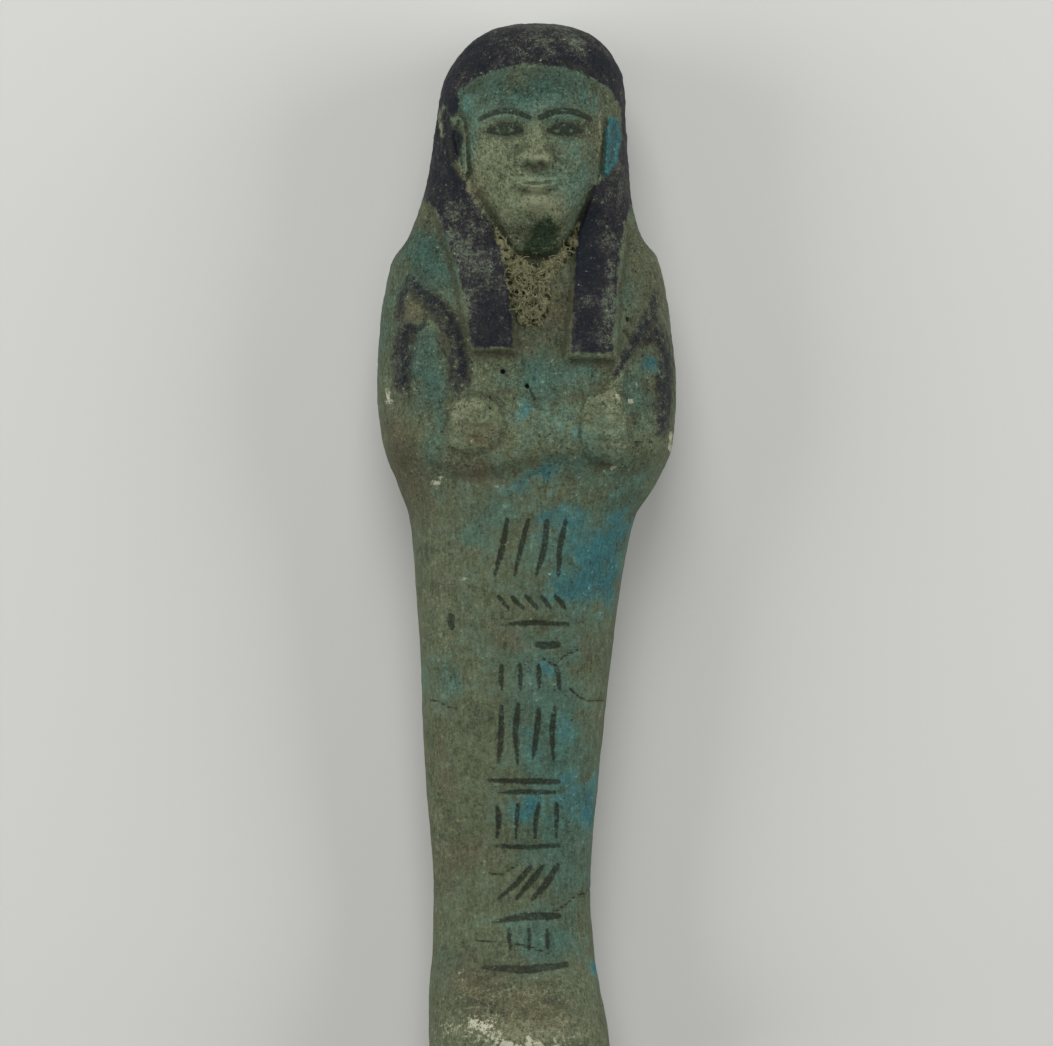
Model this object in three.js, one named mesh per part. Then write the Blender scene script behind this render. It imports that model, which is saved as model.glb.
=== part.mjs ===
// An ushabti: a small mummy-shaped funerary figure of moulded faience, made in one piece.
// It wears a long wig with two lappets, and its crossed arms hold two hoes.
//
// Frame, in millimetres: the figure lies on its back. +Y runs from the soles to the crown, +Z is up, out
// of the chest, and +X is on the right of someone who looks down at the face. The table is z = 0, and the
// origin is under the middle of the figure. Heights along the figure are measured from the soles.
import * as THREE from "three";

const LENGTH = 116;
const CROWN_START = 106; // the dome of the wig begins here
const SOLE_ROUNDING = 1.8;

// The plain body, in sections: height, half-widths to the left and right, height of the front and of the
// back above the table, and height of the widest line. A back below 0 is cut flat by the table.
const SECTIONS = [
  [0, 10.5, 9.5, 18.4, 0.4, 8.6], // soles
  [4.5, 10.8, 9.1, 19.5, -0.5, 8.5], // toes
  [9, 10.75, 8.2, 17.3, -0.3, 8.0], // insteps
  [13.5, 10.4, 7.5, 14.9, 0.7, 7.4],
  [20, 10.3, 7.05, 14.0, 1.5, 7.2], // ankles
  [32, 11.1, 7.9, 15.7, 0.3, 7.4], // calves
  [46, 11.8, 9.4, 17.4, -0.2, 7.8], // knees
  [58, 12.5, 11.1, 18.8, -0.6, 8.2], // hips
  [61.5, 12.95, 12.0, 19.1, -0.3, 8.4], // waist
  [65.5, 14.3, 14.5, 19.6, -0.1, 8.6],
  [70, 15.9, 16.25, 20.2, -0.2, 8.8], // elbows
  [75.5, 16.5, 16.5, 20.4, -0.5, 9.0],
  [83, 16.15, 15.9, 19.9, -0.8, 9.0], // upper arms
  [89.5, 14.9, 14.7, 18.7, -0.5, 9.0], // shoulders
  [93, 12.8, 12.5, 18.1, -0.1, 9.2], // neck
  [98, 11.1, 11.35, 18.9, -0.4, 9.6], // ears
  [CROWN_START, 9.75, 10.95, 20.2, -0.6, 10.2], // brow
];
const FRONT_POWER = 2.3; // 2 is an ellipse, and more is squarer
const BACK_POWER = 2.6;
const CROWN_POWER = { left: 2.0, right: 2.7, front: 2.2, back: 2.3 };

// The wig: the side edges of the opening that shows the face and neck, its outer edges on the shoulders,
// the bottoms of the lappets, and the band across the forehead, which sags towards the temples.
const WIG_OPENING = [
  [78, -1.3, 4.4],
  [88, -1.9, 5.3],
  [92, -2.6, 5.6],
  [95.5, -4.4, 6.6],
  [99.5, -6.6, 8.2],
  [106, -7.3, 8.8],
  [112, -6.9, 8.6],
];
const WIG_OUTSIDE = [
  [78, -5.5, 9.6],
  [85.5, -7.1, 9.9],
  [90, -8.2, 10.5],
  [95, -10.1, 11.5],
  [98, -12.5, 12.5],
];
const WIG_THICKNESS = 1.1;
const WIG_EDGE = 0.6; // half the width of the slope at an edge of the wig
const LAPPET_END = { left: 79.6, right: 78.8 };
const HAIRLINE = 110.9;
const HAIRLINE_SAG = 2.3;
const TEMPLE = 7.8; // half the distance between the temples

// The face: a calm mask with an even forehead, nose and chin. Its rows give height, half-width, height of its
// midline above the table, and how far it falls from there to its sides. The first rows are the neck.
const FACE_MIDDLE = 0.9;
const CHIN = 94.2;
const FACE_THIRD = (HAIRLINE - CHIN) / 3;
const BROW = HAIRLINE - FACE_THIRD;
const NOSE_BASE = CHIN + FACE_THIRD;
const MOUTH = CHIN + FACE_THIRD * 0.64;
const EYE = BROW - FACE_THIRD * 0.32;
const FACE_ROWS = [
  [89.2, 1.2, 17.4, 0.6],
  [90.2, 2.7, 19.2, 1.0],
  [92.4, 3.5, 20.0, 1.6],
  [CHIN, 4.3, 21.4, 2.8],
  [95.6, 5.2, 22.1, 3.8],
  [98.4, 6.9, 22.6, 4.8],
  [102, 7.8, 22.7, 5.0],
  [106, 7.9, 22.1, 4.6],
  [HAIRLINE, 7.4, 19.5, 2.6],
];
const FACE_POWER = 3.2; // how late the face falls towards its sides
const BAND_DIVE = 2.5; // how steeply the forehead dives under the band of the wig
const EAR = { height: EYE - 1.6, left: -8.3, right: 9.3, halfWidth: 1.3, halfHeight: 3.8, depth: 1.0 };

// The crossed arms and their fists.
const ARM_RADIUS = 4.4;
const ARM_DEPTH = 1.0;
const ARMS = [
  [[-14.2, 70.2], [-2, 69.4], [8.5, 71]],
  [[14.4, 70.4], [5, 69.8], [-5.7, 71.8]],
];
const FISTS = [
  { x: -5.7, height: 71.7, halfWidth: 3.3, halfHeight: 3.7 },
  { x: 8.5, height: 70.9, halfWidth: 3.0, halfHeight: 4.5 },
];
const FIST_DEPTH = 1.1;

// The two hoes, each with a handle from the fist to the shoulder, a blade that hangs from its top, and a tie.
const HOE_RADIUS = 0.8;
const HOE_DEPTH = 0.5;
const HOES = [
  [[-6.5, 75.2], [-7.3, 79.6], [-8.9, 83.5], [-13, 87.8], [-14, 83], [-13.6, 75.6]],
  [[-13.9, 82.3], [-9, 82.3]],
  [[9.4, 75], [10, 77.4], [11.1, 79.7], [14, 85.6], [15.3, 79.2], [14.8, 70.9]],
  [[11.9, 81.6], [14.9, 81.4]],
];

const { clamp, smoothstep, lerp } = THREE.MathUtils;

// The value in one column of the rows at a height, on a smooth curve through the rows that never overshoots.
function rowValue(rows, column, height) {
  const last = rows.length - 2;
  let i = 0;
  while (i < last && height > rows[i + 1][0]) i++;
  const rise = (k) => (rows[k + 1][column] - rows[k][column]) / (rows[k + 1][0] - rows[k][0]);
  const slope = (k) => {
    if (k === 0) return rise(0);
    if (k > last) return rise(last);
    const [below, above] = [rise(k - 1), rise(k)];
    return below * above <= 0 ? 0 : (2 * below * above) / (below + above);
  };
  const gap = rows[i + 1][0] - rows[i][0];
  const t = clamp((height - rows[i][0]) / gap, 0, 1);
  const [a, b] = [rows[i][column], rows[i + 1][column]];
  const ease = t * t * (3 - 2 * t);
  return lerp(a, b, ease) + gap * t * (1 - t) * (slope(i) * (1 - t) - slope(i + 1) * t);
}

// 1 in the middle of an ellipse, falling smoothly to 0 at its edge and beyond.
function mound(x, height, middleX, middleHeight, halfWidth, halfHeight) {
  const far = ((x - middleX) / halfWidth) ** 2 + ((height - middleHeight) / halfHeight) ** 2;
  return far >= 1 ? 0 : (1 - far) ** 2;
}

// The distance from a point to a line of straight stretches.
function distanceToLine(x, height, line) {
  let nearest = Infinity;
  for (let i = 0; i + 1 < line.length; i++) {
    const [ax, ay] = line[i];
    const [dx, dy] = [line[i + 1][0] - ax, line[i + 1][1] - ay];
    const t = clamp(((x - ax) * dx + (height - ay) * dy) / (dx * dx + dy * dy), 0, 1);
    nearest = Math.min(nearest, Math.hypot(x - ax - t * dx, height - ay - t * dy));
  }
  return nearest;
}

// A round rib of the given radius along a line, 1 at its top and 0 beside it.
function rib(x, height, line, radius) {
  const far = (distanceToLine(x, height, line) / radius) ** 2;
  return far >= 1 ? 0 : (1 - far) ** 1.5;
}

// The larger of two surfaces, with a fillet where they meet.
function blendUp(a, b, fillet) {
  const near = Math.max(fillet - Math.abs(a - b), 0) / fillet;
  return Math.max(a, b) + (near * near * fillet) / 4;
}

// The height of the lower edge of the wig's band across the forehead.
function bandEdge(x) {
  return HAIRLINE - HAIRLINE_SAG * ((x - FACE_MIDDLE) / TEMPLE) ** 2;
}

// How far a point is inside the wig, in millimetres. It is negative on the face, chest and shoulders.
function insideWig(x, height) {
  const step = 0.2;
  const past = (rows, column, side) => {
    const lean = (rowValue(rows, column, height + step) - rowValue(rows, column, height - step)) / (2 * step);
    return ((x - rowValue(rows, column, height)) * side) / Math.hypot(1, lean);
  };
  const pastSides = Math.max(past(WIG_OPENING, 1, -1), past(WIG_OPENING, 2, 1));
  const pastOpening = blendUp(pastSides, height - bandEdge(x), 1.5);
  const end = x < FACE_MIDDLE ? LAPPET_END.left : LAPPET_END.right;
  return Math.min(pastOpening, past(WIG_OUTSIDE, 1, 1), past(WIG_OUTSIDE, 2, -1), height - end);
}

function faceHeight(x, height) {
  const across = Math.abs(x - FACE_MIDDLE);
  const [halfWidth, midline, fall] = [1, 2, 3].map((value) => rowValue(FACE_ROWS, value, height));
  let z = midline - fall * (across / halfWidth) ** FACE_POWER;
  z -= BAND_DIVE * Math.max(height - bandEdge(x), 0);
  const mouth = MOUTH + 0.04 * across ** 2;
  z += 0.4 * mound(across, height, 3.4, BROW - 0.1, 3.6, 1.0); // brow
  z -= 0.75 * mound(across, height, 3.3, EYE, 2.7, 1.7); // socket
  z += 0.6 * mound(across, height, 3.25, EYE - 0.1, 1.8, 1.1); // eyeball
  z += 0.5 * mound(across, height, 4.3, NOSE_BASE + 1.0, 3.0, 2.9); // cheek
  z += noseHeight(across, height);
  z += 0.45 * mound(across, height, 0, mouth + 0.2, 3.8, 2.8); // around the mouth
  z += 0.65 * mound(across, height, 0, mouth + 0.55, 2.7, 0.9); // upper lip
  z += 0.65 * mound(across, height, 0, mouth - 0.65, 2.3, 0.85); // lower lip
  z += 0.6 * mound(across, height, 0, CHIN + 1.3, 2.4, 1.6); // chin
  return z;
}

// The nose widens and rises from between the brows to its tip, and ends in two round wings.
function noseHeight(across, height) {
  const down = clamp((BROW - height) / (BROW - NOSE_BASE), -0.5, 1.2);
  const share = clamp(down, 0, 1);
  const ends = smoothstep(down, -0.5, 0.25) * (1 - smoothstep(down, 0.86, 1.1));
  const bridge = mound(across, 0, 0, 0, lerp(1.5, 2.1, share), 1);
  const wings = mound(across, height, 1.25, NOSE_BASE + 0.7, 1.0, 1.05);
  return lerp(0.35, 2.0, share) * ends * bridge + 0.6 * wings;
}

// An ear stands up as an oval rim around a hollow.
function earRise(x, height) {
  const side = x < FACE_MIDDLE ? EAR.left : EAR.right;
  const shell = mound(x, height, side, EAR.height, EAR.halfWidth, EAR.halfHeight);
  const hollow = mound(x, height, side, EAR.height + 0.5, EAR.halfWidth * 0.6, EAR.halfHeight * 0.6);
  return EAR.depth * (shell ** 0.5 - 0.5 * hollow);
}

// The carved front at a point of the plain body whose height above the table is z.
function carvedFront(x, height, z) {
  z += ARM_DEPTH * blendUp(...ARMS.map((arm) => rib(x, height, arm, ARM_RADIUS)), 0.5);
  for (const fist of FISTS) {
    z += FIST_DEPTH * mound(x, height, fist.x, fist.height, fist.halfWidth, fist.halfHeight);
  }
  for (const line of HOES) z += HOE_DEPTH * rib(x, height, line, HOE_RADIUS);
  if (height > FACE_ROWS[0][0]) z = blendUp(z, faceHeight(x, height), 0.4);
  z += WIG_THICKNESS * smoothstep(insideWig(x, height), -WIG_EDGE, WIG_EDGE);
  return z + earRise(x, height);
}

// Faces around the figure, and faces along it as [height, number of faces up to there]. They are close
// together where it is carved.
const FRONT_FACES = 42;
const BACK_FACES = 20;
const AROUND = FRONT_FACES + BACK_FACES;
const BANDS = [
  [SOLE_ROUNDING, 3],
  [10, 3],
  [58, 8],
  [66, 3],
  [76, 8],
  [90, 14],
  [CROWN_START, 24],
];
const SOLE_RINGS = 3;
const CROWN_RINGS = 11;
const ALONG = SOLE_RINGS + CROWN_RINGS + BANDS.reduce((sum, [, faces]) => sum + faces, 0);

// For a ring, counted from the crown down to the soles: its height and how far it is drawn in, as a share of
// the half-width on each side of the dome or as a share of the flat sole.
function ringPlace(ring) {
  if (ring <= CROWN_RINGS) {
    const up = Math.cos(((ring / CROWN_RINGS) * Math.PI) / 2);
    const draw = (power) => (1 - up ** power) ** (1 / power);
    const crown = Object.fromEntries(Object.entries(CROWN_POWER).map(([side, power]) => [side, draw(power)]));
    return { height: CROWN_START + (LENGTH - CROWN_START) * up, ...crown };
  }
  const fromSole = ALONG - ring;
  if (fromSole < SOLE_RINGS) {
    const share = fromSole / SOLE_RINGS;
    return { height: 0, left: share, right: share, front: share, back: share };
  }
  let start = 0;
  let left = fromSole - SOLE_RINGS;
  for (const [end, faces] of BANDS) {
    if (left <= faces) {
      const share = left / faces;
      const turn = start === 0 ? 1 - Math.cos((share * Math.PI) / 2) : share;
      return { height: lerp(start, end, turn), left: 1, right: 1, front: 1, back: 1 };
    }
    left -= faces;
    start = end;
  }
}

// How far across the body a column of the front lies, from -1 on the left to 1 on the right.
function acrossFront(column) {
  const share = (2 * column) / FRONT_FACES - 1;
  return share * (1.125 - 0.125 * share ** 8);
}

// The point of the surface at a column, counted around the front and then the back, and a ring.
function surfacePoint(column, ring) {
  const place = ringPlace(ring);
  const { height } = place;
  const [left, right, front, back, widest] = [1, 2, 3, 4, 5].map((value) =>
    rowValue(SECTIONS, value, Math.min(height, CROWN_START)),
  );
  const low = 1 - Math.min(height / SOLE_ROUNDING, 1);
  const inset = SOLE_ROUNDING * (1 - Math.sqrt(1 - low * low));
  const onFront = column <= FRONT_FACES;
  const across = onFront
    ? acrossFront(column)
    : Math.cos(((column - FRONT_FACES) / BACK_FACES) * Math.PI);
  const x = across * (across < 0 ? (left - inset) * place.left : (right - inset) * place.right);
  const power = onFront ? FRONT_POWER : BACK_POWER;
  const bulge = Math.max(1 - Math.abs(across) ** power, 0) ** (1 / power);
  if (!onFront) {
    const z = widest - (widest - back - inset) * place.back * bulge;
    return [x, height, Math.max(z, 0)];
  }
  const z = widest + (front - inset - widest) * place.front * bulge;
  const facing = smoothstep(bulge, 0.15, 0.5) * smoothstep(place.front, 0.1, 0.6);
  return [x, height, height > 0 ? lerp(z, carvedFront(x, height, z), facing) : z];
}

// A sphere with its poles at the crown and the soles, pressed into the shape of the figure.
function figureGeometry() {
  const geometry = new THREE.SphereGeometry(1, AROUND, ALONG);
  const { position, uv } = geometry.attributes;
  for (let i = 0; i < position.count; i++) {
    const column = Math.round(uv.getX(i) * AROUND);
    const ring = Math.round((1 - uv.getY(i)) * ALONG);
    const [x, height, z] = surfacePoint(column, ring);
    position.setXYZ(i, x, height - LENGTH / 2, z);
  }
  geometry.computeVertexNormals();
  return geometry;
}

const faience = new THREE.MeshStandardMaterial({ color: 0x5f7d70, roughness: 0.6, metalness: 0 });
const figure = new THREE.Mesh(figureGeometry(), faience);
figure.name = "ushabti_figure";

const ushabti = new THREE.Group();
ushabti.add(figure);

export default ushabti;
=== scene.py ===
# An ushabti, a small mummy-shaped funerary figure of blue-green faience, lying on its back.
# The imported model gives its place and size. This script carves it finely, paints it and weathers it.
import math

import bpy
import numpy as np
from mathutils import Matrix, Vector, noise


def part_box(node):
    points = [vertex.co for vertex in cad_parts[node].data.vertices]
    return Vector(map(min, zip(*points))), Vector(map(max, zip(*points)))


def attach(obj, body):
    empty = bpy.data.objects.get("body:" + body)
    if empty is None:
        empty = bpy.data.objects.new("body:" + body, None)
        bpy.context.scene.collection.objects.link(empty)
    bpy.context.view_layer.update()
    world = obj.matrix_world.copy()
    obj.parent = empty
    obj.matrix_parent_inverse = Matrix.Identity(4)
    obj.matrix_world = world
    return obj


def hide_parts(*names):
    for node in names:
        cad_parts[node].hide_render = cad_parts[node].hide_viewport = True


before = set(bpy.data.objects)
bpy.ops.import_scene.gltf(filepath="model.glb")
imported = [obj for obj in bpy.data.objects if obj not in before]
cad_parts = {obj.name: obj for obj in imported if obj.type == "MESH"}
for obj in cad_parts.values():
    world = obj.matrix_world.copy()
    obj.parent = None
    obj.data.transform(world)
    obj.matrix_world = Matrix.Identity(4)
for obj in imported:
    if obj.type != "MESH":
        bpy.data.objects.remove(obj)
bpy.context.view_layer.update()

# The figure: one piece of crushed quartz paste, pressed in an open mould, fired with a copper glaze and
# painted in manganese black. Its sizes are in millimetres, with heights measured from the soles and x to
# the right of someone who looks down at the face.
NODE = "ushabti_figure"
LENGTH = 116
figure_low, figure_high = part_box(NODE)
MM = (figure_high.y - figure_low.y) / LENGTH
CROWN_START = 106  # the dome of the wig begins here
SOLE_ROUNDING = 1.8

# The plain body, in sections: height, half-widths to the left and right, height of the front and of the
# back above the table, and height of the widest line. A back below 0 is cut flat by the table.
SECTIONS = [
    (0, 10.5, 9.5, 18.4, 0.4, 8.6),  # soles
    (4.5, 10.8, 9.1, 19.5, -0.5, 8.5),  # toes
    (9, 10.75, 8.2, 17.3, -0.3, 8.0),  # insteps
    (13.5, 10.4, 7.5, 14.9, 0.7, 7.4),
    (20, 10.3, 7.05, 14.0, 1.5, 7.2),  # ankles
    (32, 11.1, 7.9, 15.7, 0.3, 7.4),  # calves
    (46, 11.8, 9.4, 17.4, -0.2, 7.8),  # knees
    (58, 12.5, 11.1, 18.8, -0.6, 8.2),  # hips
    (61.5, 12.95, 12.0, 19.1, -0.3, 8.4),  # waist
    (65.5, 14.3, 14.5, 19.6, -0.1, 8.6),
    (70, 15.9, 16.25, 20.2, -0.2, 8.8),  # elbows
    (75.5, 16.5, 16.5, 20.4, -0.5, 9.0),
    (83, 16.15, 15.9, 19.9, -0.8, 9.0),  # upper arms
    (89.5, 14.9, 14.7, 18.7, -0.5, 9.0),  # shoulders
    (93, 12.8, 12.5, 18.1, -0.1, 9.2),  # neck
    (98, 11.1, 11.35, 18.9, -0.4, 9.6),  # ears
    (CROWN_START, 9.75, 10.95, 20.2, -0.6, 10.2),  # brow
]
FRONT_POWER = 2.3  # 2 is an ellipse, and more is squarer
BACK_POWER = 2.6
CROWN_POWER = {"left": 2.0, "right": 2.7, "front": 2.2, "back": 2.3}


def smooth(value, low, high):
    """0 below low, 1 above high, and a smooth rise between."""
    share = np.clip((value - low) / (high - low), 0, 1)
    return share * share * (3 - 2 * share)


def mix(a, b, share):
    return a + (b - a) * share


def row_value(rows, column, height):
    """The value in one column of the rows at each height, on a smooth curve that never overshoots."""
    table = np.array(rows, float)
    heights, values = table[:, 0], table[:, column]
    rise = np.diff(values) / np.diff(heights)
    product, total = rise[:-1] * rise[1:], rise[:-1] + rise[1:]
    inner = np.where(product > 0, 2 * product / np.where(total == 0, 1, total), 0)
    slope = np.concatenate([rise[:1], inner, rise[-1:]])
    i = np.clip(np.searchsorted(heights[1:], height), 0, len(rows) - 2)
    gap = heights[i + 1] - heights[i]
    along = np.clip((height - heights[i]) / gap, 0, 1)
    ease = along * along * (3 - 2 * along)
    bend = gap * along * (1 - along) * (slope[i] * (1 - along) - slope[i + 1] * along)
    return mix(values[i], values[i + 1], ease) + bend


def mound(x, height, middle_x, middle_height, half_width, half_height):
    """1 in the middle of an ellipse, falling smoothly to 0 at its edge and beyond."""
    far = ((x - middle_x) / half_width) ** 2 + ((height - middle_height) / half_height) ** 2
    return np.clip(1 - far, 0, 1) ** 2


def block(x, height, middle_x, middle_height, half_width, half_height):
    """1 over most of a rounded block, falling steeply to 0 at its edge."""
    far = np.abs((x - middle_x) / half_width) ** 3 + np.abs((height - middle_height) / half_height) ** 3
    return np.sqrt(np.clip(1 - far, 0, 1)) * np.clip(1.15 - 0.3 * far, 0, 1)


def inside_stroke(x, height, line, halves):
    """How far a point is inside a stroke along a line, with the half-widths evenly spaced along it."""
    inmost = np.full(np.broadcast(x, height).shape, -np.inf)
    for i, ((ax, ay), (bx, by)) in enumerate(zip(line, line[1:])):
        dx, dy = bx - ax, by - ay
        along = np.clip(((x - ax) * dx + (height - ay) * dy) / (dx * dx + dy * dy), 0, 1)
        half = np.interp((i + along) / (len(line) - 1), np.linspace(0, 1, len(halves)), halves)
        inmost = np.maximum(inmost, half - np.hypot(x - ax - along * dx, height - ay - along * dy))
    return inmost


def distance_to_line(x, height, line):
    return -inside_stroke(x, height, line, [0, 0])


def rib(x, height, line, radius):
    """A round rib along a line, 1 at its top and 0 beside it."""
    return np.clip(1 - (distance_to_line(x, height, line) / radius) ** 2, 0, 1) ** 1.5


def blend_up(a, b, fillet):
    """The larger of two surfaces, with a fillet where they meet."""
    near = np.maximum(fillet - np.abs(a - b), 0) / fillet
    return np.maximum(a, b) + near * near * fillet / 4


# The wig: the side edges of the opening that shows the face and neck, its outer edges on the shoulders,
# the bottoms of the lappets, and the band across the forehead, which sags towards the temples.
WIG_OPENING = [
    (78, -1.3, 4.4),
    (88, -1.9, 5.3),
    (92, -2.6, 5.6),
    (95.5, -4.4, 6.6),
    (99.5, -6.6, 8.2),
    (106, -7.3, 8.8),
    (112, -6.9, 8.6),
]
WIG_OUTSIDE = [
    (78, -5.5, 9.6),
    (85.5, -7.1, 9.9),
    (90, -8.2, 10.5),
    (95, -10.1, 11.5),
    (98, -12.5, 12.5),
]
WIG_THICKNESS = [(78, 0.95), (94, 1.0), (101, 0.6), (112, 0.35)]  # at each height
WIG_EDGE = 0.32  # half the width of the slope at an edge of the wig, which is gentler along the left jaw
LEFT_JAW = (-6.2, 97.5, 3.5, 6)
JAW_SLOPE = 0.8
WIG_FILLET = 1.2  # at the corners of the opening
LAPPET_END = (79.6, 78.8)
HAIRLINE = 110.9
HAIRLINE_SAG = 2.3
TEMPLE = 7.8  # half the distance between the temples
FACE_MIDDLE = 0.9


def band_edge(x):
    """The height of the lower edge of the wig's band across the forehead."""
    return HAIRLINE - HAIRLINE_SAG * ((x - FACE_MIDDLE) / TEMPLE) ** 2


def inside_wig(x, height, opening, outside, ends, fillet):
    """How far a point is inside the wig or its paint. It is negative on the face, chest and shoulders."""
    step = 0.2

    def past(rows, column, side):
        lean = row_value(rows, column, height + step) - row_value(rows, column, height - step)
        return (x - row_value(rows, column, height)) * side / np.hypot(1, lean / (2 * step))

    past_sides = np.maximum(past(opening, 1, -1), past(opening, 2, 1))
    past_opening = blend_up(past_sides, height - band_edge(x), fillet)
    above_end = height - np.where(x < FACE_MIDDLE, ends[0], ends[1])
    within = np.minimum(past(outside, 1, 1), past(outside, 2, -1))
    return np.minimum(np.minimum(past_opening, within), above_end)


# The face: a calm mask with an even forehead, nose and chin. Its rows give height, half-width, height of its
# midline above the table, and how far it falls from there to its sides. The first rows are the neck.
CHIN = 94.2
FACE_THIRD = (HAIRLINE - CHIN) / 3
BROW = HAIRLINE - FACE_THIRD
NOSE_BASE = CHIN + FACE_THIRD
MOUTH = CHIN + FACE_THIRD * 0.64
EYE = BROW - FACE_THIRD * 0.32
EYE_ACROSS = 3.25  # from the middle of the face to the middle of an eye
EYE_HALF_WIDTH = 1.7
UPPER_LID = 0.62  # how far the arc of each lid rises or hangs in its middle
LOWER_LID = 0.42
BROW_HALF_WIDTH = 2.6
BROW_ARCH = 0.75
BROW_TOP = 0.35  # the top of the arc above the height of the brow
FACE_ROWS = [
    (89.2, 1.2, 17.4, 0.6),
    (90.2, 2.7, 19.2, 1.0),
    (92.4, 3.5, 20.0, 1.6),
    (CHIN, 4.3, 21.4, 2.8),
    (95.6, 5.2, 22.1, 3.8),
    (98.4, 6.9, 22.6, 4.8),
    (102, 7.8, 22.7, 5.0),
    (106, 7.9, 22.1, 4.6),
    (HAIRLINE, 7.4, 19.5, 2.6),
]
FACE_POWER = 3.2  # how late the face falls towards its sides
FACE_FILLET = 0.7
BAND_DIVE = 2.5  # how steeply the forehead dives under the band of the wig


def eye_lines(across, height):
    """The distances to the upper and the lower lid, which are two shallow arcs that meet at both corners."""
    along = (across - EYE_ACROSS) / EYE_HALF_WIDTH
    arc = np.clip(1 - along**2, 0, 1)
    beyond = np.maximum(np.abs(along) - 1, 0) * EYE_HALF_WIDTH
    upper = np.hypot(height - EYE - UPPER_LID * arc, beyond)
    lower = np.hypot(height - EYE + LOWER_LID * arc, beyond)
    return upper, lower


def brow_line(across, height):
    """The distance to the brow, one long arc over each eye."""
    along = np.clip((across - EYE_ACROSS) / BROW_HALF_WIDTH, -1, 1)
    beyond = np.maximum(np.abs(across - EYE_ACROSS) - BROW_HALF_WIDTH, 0)
    return np.hypot(height - BROW - BROW_TOP + BROW_ARCH * along**2, beyond)


def nose_height(across, height):
    """The nose widens and rises from between the brows to its tip, and ends in two round wings."""
    down = np.clip((BROW - height) / (BROW - NOSE_BASE), -0.5, 1.2)
    share = np.clip(down, 0, 1)
    ends = smooth(down, -0.5, 0.25) * (1 - smooth(down, 0.88, 1.08))
    bridge = mound(across, 0, 0, 0, mix(1.5, 2.1, share), 1)
    wings = mound(across, height, 1.25, NOSE_BASE + 0.7, 1.0, 1.05)
    nostrils = mound(across, height, 0.75, NOSE_BASE + 0.1, 0.4, 0.35)
    return mix(0.35, 2.0, share) * ends * bridge + 0.6 * wings - 0.35 * nostrils


def lip_height(across, height):
    """Two full lips that meet in a fine line, and a groove from the nose to the upper lip."""
    taper = np.clip(1 - (across / 2.8) ** 2, 0, 1)
    line = MOUTH + 0.05 * across**2 - 0.08 * mound(across, 0, 0, 0, 0.9, 1)
    above, below = (height - line) / (0.35 + 0.65 * taper), (line - height) / (0.3 + 0.8 * taper)
    upper = np.where(above > 0, np.clip(1 - above**2, 0, 1) ** 1.2 * np.clip(above * 4, 0, 1) ** 0.5, 0)
    lower = np.where(below > 0, np.clip(1 - below**2, 0, 1) ** 1.2 * np.clip(below * 4, 0, 1) ** 0.5, 0)
    groove = 0.14 * mound(across, height, 0, MOUTH + 1.6, 0.5, 0.8)
    parting = 0.16 * np.exp(-(((height - line) / 0.14) ** 2)) * (np.abs(across) < 2.9)
    return taper**0.6 * (0.55 * upper + 0.62 * lower) - groove - parting


def face_height(x, height):
    across = np.abs(x - FACE_MIDDLE)
    half_width, midline, fall = (row_value(FACE_ROWS, column, height) for column in (1, 2, 3))
    z = midline - fall * (across / half_width) ** FACE_POWER
    z = z - BAND_DIVE * np.maximum(height - band_edge(x), 0)
    z = z + 0.25 * mound(across, height, 3.4, BROW - 0.1, 3.8, 1.3)  # brow ridge
    z = z + 0.16 * np.exp(-((brow_line(across, height) / 0.28) ** 2))
    z = z - 0.75 * mound(across, height, EYE_ACROSS, EYE, 2.7, 1.8)  # eye socket
    z = z + 0.6 * mound(across, height, EYE_ACROSS, EYE + 0.1, 1.7, 1.0)  # eyeball
    upper, lower = eye_lines(across, height)
    z = z + 0.2 * np.exp(-((upper / 0.17) ** 2)) + 0.12 * np.exp(-((lower / 0.15) ** 2))
    z = z + 0.5 * mound(across, height, 4.3, NOSE_BASE + 1.0, 3.0, 2.9)  # cheek
    z = z + 0.4 * mound(across, height, 0, MOUTH + 0.2, 3.8, 2.8)  # around the mouth
    z = z + 0.6 * mound(across, height, 0, CHIN + 1.3, 2.4, 1.6)  # chin
    return z + nose_height(across, height) + lip_height(across, height)


# The ears: a long oval rim each, level with the eyes and the nose, standing out of the wig.
EAR_LINE = [(9.5, EYE + 1.2), (9.6, EYE - 0.4), (9.3, NOSE_BASE + 1.2), (8.8, NOSE_BASE - 0.5)]
EAR_HALVES = [0.8, 1.15, 1.0, 0.6]
EAR_DEPTH = 0.9
LEFT_EAR_NEARER = 0.3  # how much nearer to the middle of the face the left ear is


def inside_ear(x, height):
    """How far a point is inside the nearer ear."""
    mirrored = np.where(x < FACE_MIDDLE, 2 * FACE_MIDDLE - x + LEFT_EAR_NEARER, x)
    return inside_stroke(mirrored, height, EAR_LINE, EAR_HALVES)


def ear_rise(x, height):
    """An ear stands up as a long oval rim around a hollow."""
    depth_in = inside_ear(x, height)
    return EAR_DEPTH * (smooth(depth_in, -0.1, 0.5) - 0.6 * smooth(depth_in, 0.4, 0.95))


# The crossed arms and their fists, with shallow creases between the fingers.
ARM_RADIUS = 4.4
ARM_DEPTH = 1.0
ARM_FILLET = 0.5  # where the forearms meet
ARMS = [
    [(-14.2, 70.2), (-2, 69.4), (8.5, 71)],
    [(14.4, 70.4), (5, 69.8), (-5.7, 71.8)],
]
FISTS = [(-5.7, 71.6, 2.8, 3.1), (8.6, 71.4, 2.6, 3.9)]
FIST_DEPTH = 0.6
FINGER_STEP = 1.5
FINGER_CREASE = 0.14
FINGER_RADIUS = 0.6

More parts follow.
